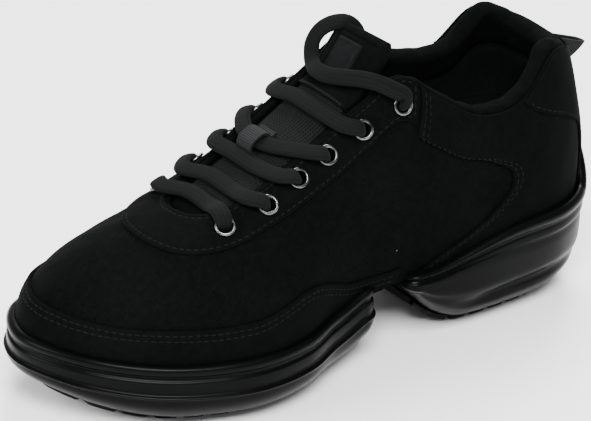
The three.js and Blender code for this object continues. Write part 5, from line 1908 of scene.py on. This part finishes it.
@dataclass
class SoleUnit:
    """One rubber pod of the split sole. Levels are rows of a base, a height and a distance outwards.

    A height counts from the tread ("floor"), the bed ("bed") or, as a share of the way, to the rim ("rim").
    """

    finishes: Finishes
    name: str
    node: str
    start: float
    end: float
    tip_x: float
    floor: Callable[[Array], Array]
    rim: Callable[[Array], Array]
    depth: float
    levels: Sequence[tuple[str, float, float]]
    hollow: Callable[[Array, Array], Array]
    lip: float

    def loop(self, sides: int = 300, ends: int = 26) -> tuple[Array, Array, Array, Array]:
        """The plan: the feather edge from start to end, and a superellipse across the arch.

        Args:
            sides: Places along the feather edge.
            ends: Places on each half of the blunt end.

        Returns:
            Points, outward directions, places round the shoe, and shares towards the blunt end's middle.
        """
        blunt = 3.2
        a, b = LAST.feather(np.array(self.start)), LAST.feather(np.array(self.end))
        middle, half = (a + b) / 2, (a - b) / 2
        reach = np.array([self.tip_x - middle[0], 0, 0])
        inward = (np.arange(ends) + 0.5) / ends
        angle = math.pi / 2 * inward
        c, s = np.cos(angle)[:, None] ** (2 / blunt), np.sin(angle)[:, None] ** (2 / blunt)
        around = mix(self.start, self.end, np.linspace(0, 1, sides))
        points = np.vstack([(middle + half * c + reach * s)[::-1], LAST.feather(around), middle - half * c + reach * s])
        places = np.concatenate([np.full(ends, self.start), around, np.full(ends, self.end)])
        inwards = np.concatenate([inward[::-1], np.zeros(sides), inward])
        ahead = np.roll(points, -1, axis=0) - np.roll(points, 1, axis=0)
        ahead[:, 2] = 0
        out = unit(np.cross(np.broadcast_to(UP, ahead.shape), ahead)) * np.sign(self.end - self.start)
        return points, out, places, inwards

    @staticmethod
    def stack(around: Array) -> Array:
        """Distance from the upper to the cups that hold it: panels and gap, more over the backstay."""
        strip = float(LAST.around_at(LAST.foot, LAST.length * 0.030, Side.OUTER))
        over = 1 - smooth(1.8 * strip, 3.2 * strip, LAST.from_heel(around))
        return PANEL + 2 * GAP + (1.0 + GAP) * over

    def seat(self, around: Array, height: Array) -> Array:
        """Level distance from the feather edge out to the cup's inner side, at a height above the bed."""
        side = LAST.point(around, LAST.rise_at_height(around, height)) - LAST.feather(around)
        return (side * LAST.outwards(around)).sum(axis=-1) + self.stack(around)

    def body(self) -> Skin:
        """The pod as one solid, before the room for the upper is cut."""
        points, out, around, inward = self.loop()
        base = self.floor(points[:, 0]) + 3.0 + GAP
        top = LAST.bed(points[:, 0])
        squash = np.minimum(1, (top - base) / self.depth)
        fade = 1 - smooth(0, 0.7, inward)
        rise = np.maximum(self.lip + 0.6, self.rim(around) * fade + 1 - fade)
        reach_share = mix(1.0, 0.35, smooth(0, 0.9, inward))
        rows = []
        for kind, up, away in self.levels:
            if kind == "floor":
                height = base + up * squash
            elif kind == "bed":
                height = top + up * (squash if up < 0 else 1)
            else:
                height = top + mix(self.lip, rise, up)
            seat = self.seat(around, np.maximum(0, height - top)) if kind == "rim" else 0.0
            dent = self.hollow(points[:, 0], np.full(len(points), up)) if kind == "floor" else 0.0
            reach = (seat + away) * reach_share + dent
            row = points + out * np.broadcast_to(reach, len(points))[:, None]
            row[:, 2] = height
            rows.append(row)
        rings = chaikin(np.array(rows), 2)
        skin = Skin()
        skin.sheet(rings, wrap=(False, True))
        count = rings.shape[1]
        last = (len(rings) - 1) * count
        pairs = np.arange(count // 2 - 1)
        mate = count - 1 - pairs
        low = np.stack([mate, mate - 1, pairs + 1, pairs], axis=1)
        high = np.stack([last + mate, last + pairs, last + pairs + 1, last + mate - 1], axis=1)
        caps = np.vstack([low, high])
        skin.quads.append(caps)
        skin.patterns.append(np.zeros((len(caps), 4, 2)))
        skin.finishes.append(np.zeros(len(caps), int))
        return skin

    def tread(self, name: str, node: str, inset: float, span: tuple[float, float],
              disc: Optional[tuple[float, float]], finish: bpy.types.Material) -> None:
        """Makes the tread plate, with cross grooves and, under the ball, a plain turning disc.

        Args:
            name: The piece's name.
            node: The CAD node that it stands for.
            inset: How far it stays inside the pod's outline.
            span: Where the grooves begin and end, as shares of the length.
            disc: The disc's middle as shares of length and ball width, or None.
            finish: Its material.
        """
        points, out, _, inward = self.loop(620, 30)
        short = self.tip_x + 8.0 * np.sign(points[:, 0].mean() - self.tip_x)
        share = mix(1.0, 0.5, smooth(0, 0.9, inward))

        def relief(p: Array) -> Array:
            """Height of the underside: the floor, and 1.5 mm more in each groove."""
            away = np.abs((p[..., 0] / 9.5) % 1 - 0.5) * 9.5
            groove = (1 - smooth(0.9, 1.7, away)) * smooth(span[0], span[0] + 0.005, p[..., 0] / LAST.length)
            groove = groove * (1 - smooth(span[1] - 0.005, span[1], p[..., 0] / LAST.length))
            if disc is not None:
                spot = np.hypot(p[..., 0] - disc[0] * LAST.length, p[..., 1] - disc[1] * LAST.ball)
                groove = groove * smooth(16.6, 17.2, spot)
                groove = np.maximum(groove, 0.6 * np.exp(-(((spot - 15.0) / 0.7) ** 2)))
            return self.floor(p[..., 0]) + 1.5 * groove

        rows = []
        for away, up in ((1.6, 0.0), (0.9, 0.25), (0.3, 0.9), (0.0, 1.8), (0.0, 2.6), (0.4, 3.0)):
            p = points - out * ((inset + away) * share)[:, None]
            p[:, 0] = np.maximum(p[:, 0], short) if short > self.tip_x else np.minimum(p[:, 0], short)
            p[:, 2] = relief(p) + (self.floor(p[:, 0]) - relief(p)) * min(1.0, up / 2.6) + up
            rows.append(p)
        skin = Skin()
        skin.sheet(np.array(rows), wrap=(False, True))
        half = len(points) // 2
        t = np.broadcast_to(np.linspace(0, 1, 29)[None, :, None], (half, 29, 1)).copy()
        t[[0, -1]] = np.round(t[[0, -1]])
        low = mix(rows[0][:half, None], rows[0][::-1][:half, None], t)
        low[..., 2] = relief(low)
        high = mix(rows[-1][:half, None], rows[-1][::-1][:half, None], t)
        high[..., 2] = self.floor(high[..., 0]) + 3.0
        skin.sheet(low, turned=True)
        skin.sheet(high)
        skin.build(name, [finish], Slot.TREAD, [node], 40, welded=True)

    def room(self) -> Skin:
        """The room that the dressed upper takes, from the bed upwards."""
        around = (np.arange(300) + 0.5) / 300
        rises = np.concatenate([[0.0], np.linspace(0.03, 0.62, 26)])
        grid = LAST.plain(around[None], rises[:, None], np.broadcast_to(self.stack(around), (len(rises), 300)))
        grid[0, :, 2] = LAST.bed(grid[0, :, 0])
        skin = Skin()
        skin.sheet(grid, wrap=(False, True))
        last = (len(grid) - 1) * 300
        pairs = np.arange(149)
        mate = 299 - pairs
        low = np.stack([mate, mate - 1, pairs + 1, pairs], axis=1)
        high = np.stack([last + mate, last + pairs, last + pairs + 1, last + mate - 1], axis=1)
        caps = np.vstack([low, high])
        skin.quads.append(caps)
        skin.patterns.append(np.zeros((len(caps), 4, 2)))
        skin.finishes.append(np.zeros(len(caps), int))
        return skin

    def build(self) -> None:
        """Makes the pod and cuts the room out of it."""
        pod = self.body().build(self.name, [self.finishes.sole], Slot.SOLE, [self.node], 38)
        tool = self.room().build(self.name + "_room", [self.finishes.sole], Slot.SOLE)
        cut = pod.modifiers.new("room", "BOOLEAN")
        cut.operation, cut.object, cut.solver = "DIFFERENCE", tool, "EXACT"
        bpy.context.view_layer.update()
        graph = bpy.context.evaluated_depsgraph_get()
        made = bpy.data.meshes.new_from_object(pod.evaluated_get(graph))
        pod.modifiers.clear()
        pod.data = made
        bpy.data.objects.remove(tool)
        made.shade_smooth()
        made.set_sharp_from_angle(angle=math.radians(38))
        log.info("%s is %d faces once cut", self.name, len(made.polygons))


def heel_floor(x: Array) -> Array:
    """Height of the heel unit's underside: flat, rolled at the back and cut away at the front."""
    share = np.asarray(x) / LAST.length
    back = np.maximum(0, (0.060 - share) / 0.060)
    front = np.maximum(0, (share - 0.262) / (0.392 - 0.262))
    return 0.30 * LAST.heel_lift * back**2 + (LAST.bed(x) - 4.5) * 0.93 * front**2.1


def forefoot_floor(x: Array) -> Array:
    """Height of the forefoot unit's underside: flat, rolled up to the toe and at the back."""
    share = np.asarray(x) / LAST.length
    back = np.maximum(0, (0.568 - share) / (0.568 - 0.464))
    front = np.maximum(0, (share - 0.820) / (1 - 0.820))
    return 0.34 * LAST.forefoot_bed * back**2.6 + LAST.toe_clearance * front**2


@dataclass
class Soles:
    """Both sole units and their treads."""

    finishes: Finishes

    def build(self) -> None:
        """Makes the pods and their treads."""
        corner = [float(LAST.around_at(LAST.foot, LAST.length * 0.464 + 5.5, side)) for side in Side]
        forefoot = SoleUnit(
            self.finishes, "forefoot_pod", "forefoot_sole", corner[0], corner[1], LAST.length * 0.464,
            forefoot_floor, lambda around: np.full(np.shape(around), 8.2), LAST.forefoot_bed - 3.0 - GAP,
            (
                ("floor", 0.0, -6.0), ("floor", 0.5, -3.2), ("floor", 1.5, -0.6), ("floor", 3.0, 1.7),
                ("floor", 5.0, 3.4), ("floor", 7.2, 4.8), ("floor", 9.5, 5.7), ("bed", -5.5, 6.1), ("bed", -5.0, 6.5),
                ("bed", -4.5, 6.2), ("bed", -4.1, 5.4), ("bed", -3.6, 5.0), ("bed", -2.8, 5.15), ("bed", -0.6, 5.35),
                ("bed", 1.2, 5.3), ("bed", 1.8, 5.0), ("bed", 2.3, 4.3), ("bed", 2.7, 4.15), ("rim", 0.10, 2.2),
                ("rim", 0.22, 2.25), ("rim", 0.36, 2.9), ("rim", 0.60, 3.15), ("rim", 0.82, 2.75), ("rim", 0.95, 1.9),
                ("rim", 1.0, 1.0), ("rim", 1.0, -0.6),
            ),
            lambda x, up: np.zeros(np.shape(x)), 2.8,
        )
        forefoot.build()
        forefoot.tread("forefoot_grip", "forefoot_tread", 6.2, (0.515, 0.95), (0.70, -0.03), self.finishes.tread)
        heel = float(LAST.around_at(LAST.foot, LAST.length * 0.392 - 5.5, Side.OUTER))
        back = SoleUnit(
            self.finishes, "heel_pod", "heel_sole", heel, -heel, LAST.length * 0.392,
            heel_floor, self.heel_rim, LAST.forefoot_bed + LAST.heel_lift - 3.0 - GAP,
            (
                ("floor", 0.0, -7.0), ("floor", 0.7, -4.6), ("floor", 1.8, -2.6), ("floor", 3.6, -0.6),
                ("floor", 5.5, 0.8), ("floor", 7.5, 2.1), ("floor", 9.5, 3.0), ("floor", 11.5, 3.5),
                ("floor", 13.5, 3.9), ("floor", 15.3, 4.4), ("floor", 17.0, 5.0), ("floor", 19.0, 5.4),
                ("bed", -5.5, 5.6), ("bed", -3.0, 5.6), ("bed", 0.0, 5.0), ("rim", 0.30, 3.1), ("rim", 0.45, 2.6),
                ("rim", 0.55, 1.9), ("rim", 0.62, 2.2), ("rim", 0.72, 3.0), ("rim", 0.84, 3.2), ("rim", 0.94, 2.4),
                ("rim", 1.0, 1.2), ("rim", 1.0, -0.6),
            ),
            self.hollow, -3.0,
        )
        back.build()
        back.tread("heel_grip", "heel_tread", 7.2, (0.07, 0.33), None, self.finishes.tread)

    @staticmethod
    def heel_rim(around: Array) -> Array:
        """Height of the heel cup's rim above the bed: low at the arch, with a spur up the heel's back."""
        share = LAST.feather(around)[..., 0] / LAST.length
        spur = 1 - smooth(0.012, 0.048, LAST.from_heel(around))
        return mix(10.5, 3.6, smooth(0.14, 0.38, share)) + 18.0 * spur

    @staticmethod
    def hollow(x: Array, up: Array) -> Array:
        """Depth of the long flame pressed into the side: deepest at one height, tapering to its front."""
        share = x / LAST.length
        along = smooth(0.03, 0.12, share) * (1 - smooth(0.22, 0.33, share))
        ridge = mix(12.8, 10.6, smooth(0.08, 0.30, share))
        return -2.3 * along * np.exp(-(((up - ridge) / 2.6) ** 2))


@dataclass
class Insole:
    """The dished pad on the bed, covered with brushed cloth."""

    finishes: Finishes
    thickness: float = 4.0

    def build(self) -> None:
        """Makes the pad from rings that shrink to its middle line."""
        count = 240
        around = (np.arange(count) + 0.5) / count
        foot, out = LAST.feather(around), LAST.outwards(around)
        share = lambda x: x / LAST.length
        rows = []
        tall = self.thickness
        for inset, height in ((1.2, 0.0), (1.25, 1.6), (1.7, 4.2), (2.2, 5.0), (2.8, 5.25), (4.0, 5.0), (7.0, 4.4), (11.0, tall)):
            p = foot - out * (WALL + inset + GAP)
            x = share(p[:, 0])
            over = (2.2 + 4 * GAP) * smooth(0.255, 0.295, x) * (1 - smooth(0.57, 0.61, x))
            p[:, 2] = LAST.bed(p[:, 0]) + GAP + (height if height > 0 else over)
            rows.append(p)
        rim = rows[-1]
        mate = rim[::-1]
        middle = (rim + mate) / 2
        for t in (0.25, 0.5, 0.75, 1.0):
            p = mix(rim, middle, t)
            p[:, 2] = LAST.bed(p[:, 0]) + GAP + tall
            rows.append(p)
        skin = Skin()
        skin.sheet(np.array(rows), wrap=(False, True))
        pairs = np.arange(count // 2 - 1)
        mates = count - 1 - pairs
        caps = np.stack([mates, mates - 1, pairs + 1, pairs], axis=1)
        skin.quads.append(caps)
        skin.patterns.append(np.zeros((len(caps), 4, 2)))
        skin.finishes.append(np.zeros(len(caps), int))
        piece = skin.build("insole_pad", [self.finishes.lining], Slot.LINING, ["insole"], 60, welded=True)


@dataclass(frozen=True)
class Studio:
    """Pale floor, soft lights and the camera at the photograph's angle."""

    azimuth: float = 142.095
    elevation: float = 28.527
    roll: float = 1.995
    distance: float = 1496.6
    focal: float = 3794.8
    centre: tuple[float, float] = (300.24, 228.51)
    aim: tuple[float, float, float] = (88.0, 0.0, 50.0)

    def camera(self) -> None:
        """Places the camera: back is its azimuth and elevation, right lies level, and both turn by the roll."""
        az, el, roll = (math.radians(a) for a in (self.azimuth, self.elevation, self.roll))
        back = Vector((math.sin(az) * math.cos(el), -math.cos(az) * math.cos(el), math.sin(el)))
        level = Vector((0, 0, 1)).cross(back).normalized()
        high = back.cross(level)
        right = math.cos(roll) * level + math.sin(roll) * high
        up = -math.sin(roll) * level + math.cos(roll) * high
        data = bpy.data.cameras.new("camera")
        data.sensor_width = 36.0
        data.lens = self.focal * data.sensor_width / IMAGE_WIDTH
        data.shift_x = (IMAGE_WIDTH / 2 - self.centre[0]) / IMAGE_WIDTH
        data.shift_y = (self.centre[1] - IMAGE_HEIGHT / 2) / IMAGE_WIDTH
        data.clip_start, data.clip_end = 0.05, 30.0
        eye = bpy.data.objects.new("camera", data)
        bpy.context.scene.collection.objects.link(eye)
        place = (Vector(self.aim) + back * self.distance) * MM
        eye.matrix_world = Matrix.Translation(place) @ Matrix((right, up, back)).transposed().to_4x4()
        bpy.context.scene.camera = eye

    def lamp(self, name: str, where: Sequence[float], size: float, power: float) -> None:
        """Adds a soft square light that looks at the shoe.

        Args:
            name: Its name.
            where: Its place in metres.
            size: Its side in metres.
            power: Its power in watts.
        """
        data = bpy.data.lights.new(name, "AREA")
        data.size, data.energy = size, power
        light = bpy.data.objects.new(name, data)
        light.location = where
        light.rotation_euler = (Vector((0.09, 0, 0.05)) - Vector(where)).to_track_quat("-Z", "Y").to_euler()
        bpy.context.scene.collection.objects.link(light)

    def build(self) -> None:
        """Makes floor and lights."""
        mesh = bpy.data.meshes.new("floor")
        side, count = 8.0, 9
        x, y = np.meshgrid(np.linspace(-side, side, count), np.linspace(-side, side, count))
        points = np.stack([x, y, np.zeros_like(x)], axis=-1).reshape(-1, 3)
        i, j = np.meshgrid(np.arange(count - 1), np.arange(count - 1), indexing="ij")
        first = i * count + j
        quads = np.stack([first, first + 1, first + count + 1, first + count], axis=-1).reshape(-1, 4)
        mesh.from_pydata(points.tolist(), [], quads.tolist())
        mesh.materials.append(Floor("studio_floor").make())
        floor = bpy.data.objects.new("floor", mesh)
        bpy.context.scene.collection.objects.link(floor)
        world = bpy.data.worlds.new("studio")
        world.use_nodes = True
        world.node_tree.nodes["Background"].inputs["Color"].default_value = (1.0, 1.0, 1.0, 1.0)
        world.node_tree.nodes["Background"].inputs["Strength"].default_value = 0.5
        bpy.context.scene.world = world
        self.lamp("key", (0.7, 1.0, 1.6), 0.9, 85.0)
        self.lamp("back", (-0.7, -0.9, 1.4), 0.9, 60.0)
        self.lamp("front", (1.6, -0.3, 1.0), 0.8, 30.0)


def main() -> None:
    """Builds the studio, the lace end, and then the shoe from the inside out."""
    logging.basicConfig(level=logging.INFO, format="%(name)s: %(message)s")
    studio = Studio()
    studio.camera()
    finishes = Finishes.mixed()
    tongue = Tongue(finishes)
    laces = Laces(finishes, tongue)
    laces.free_end()
    Upper(finishes).build()
    Panels(finishes).build()
    for side in Side:
        for row in range(len(EYELETS)):
            Eyelet(finishes).build(row, side)
    tongue.build()
    laces.build()
    PullLoop(finishes).build()
    Soles(finishes).build()
    Insole(finishes).build()
    studio.build()


if __name__ == "__main__":
    main()
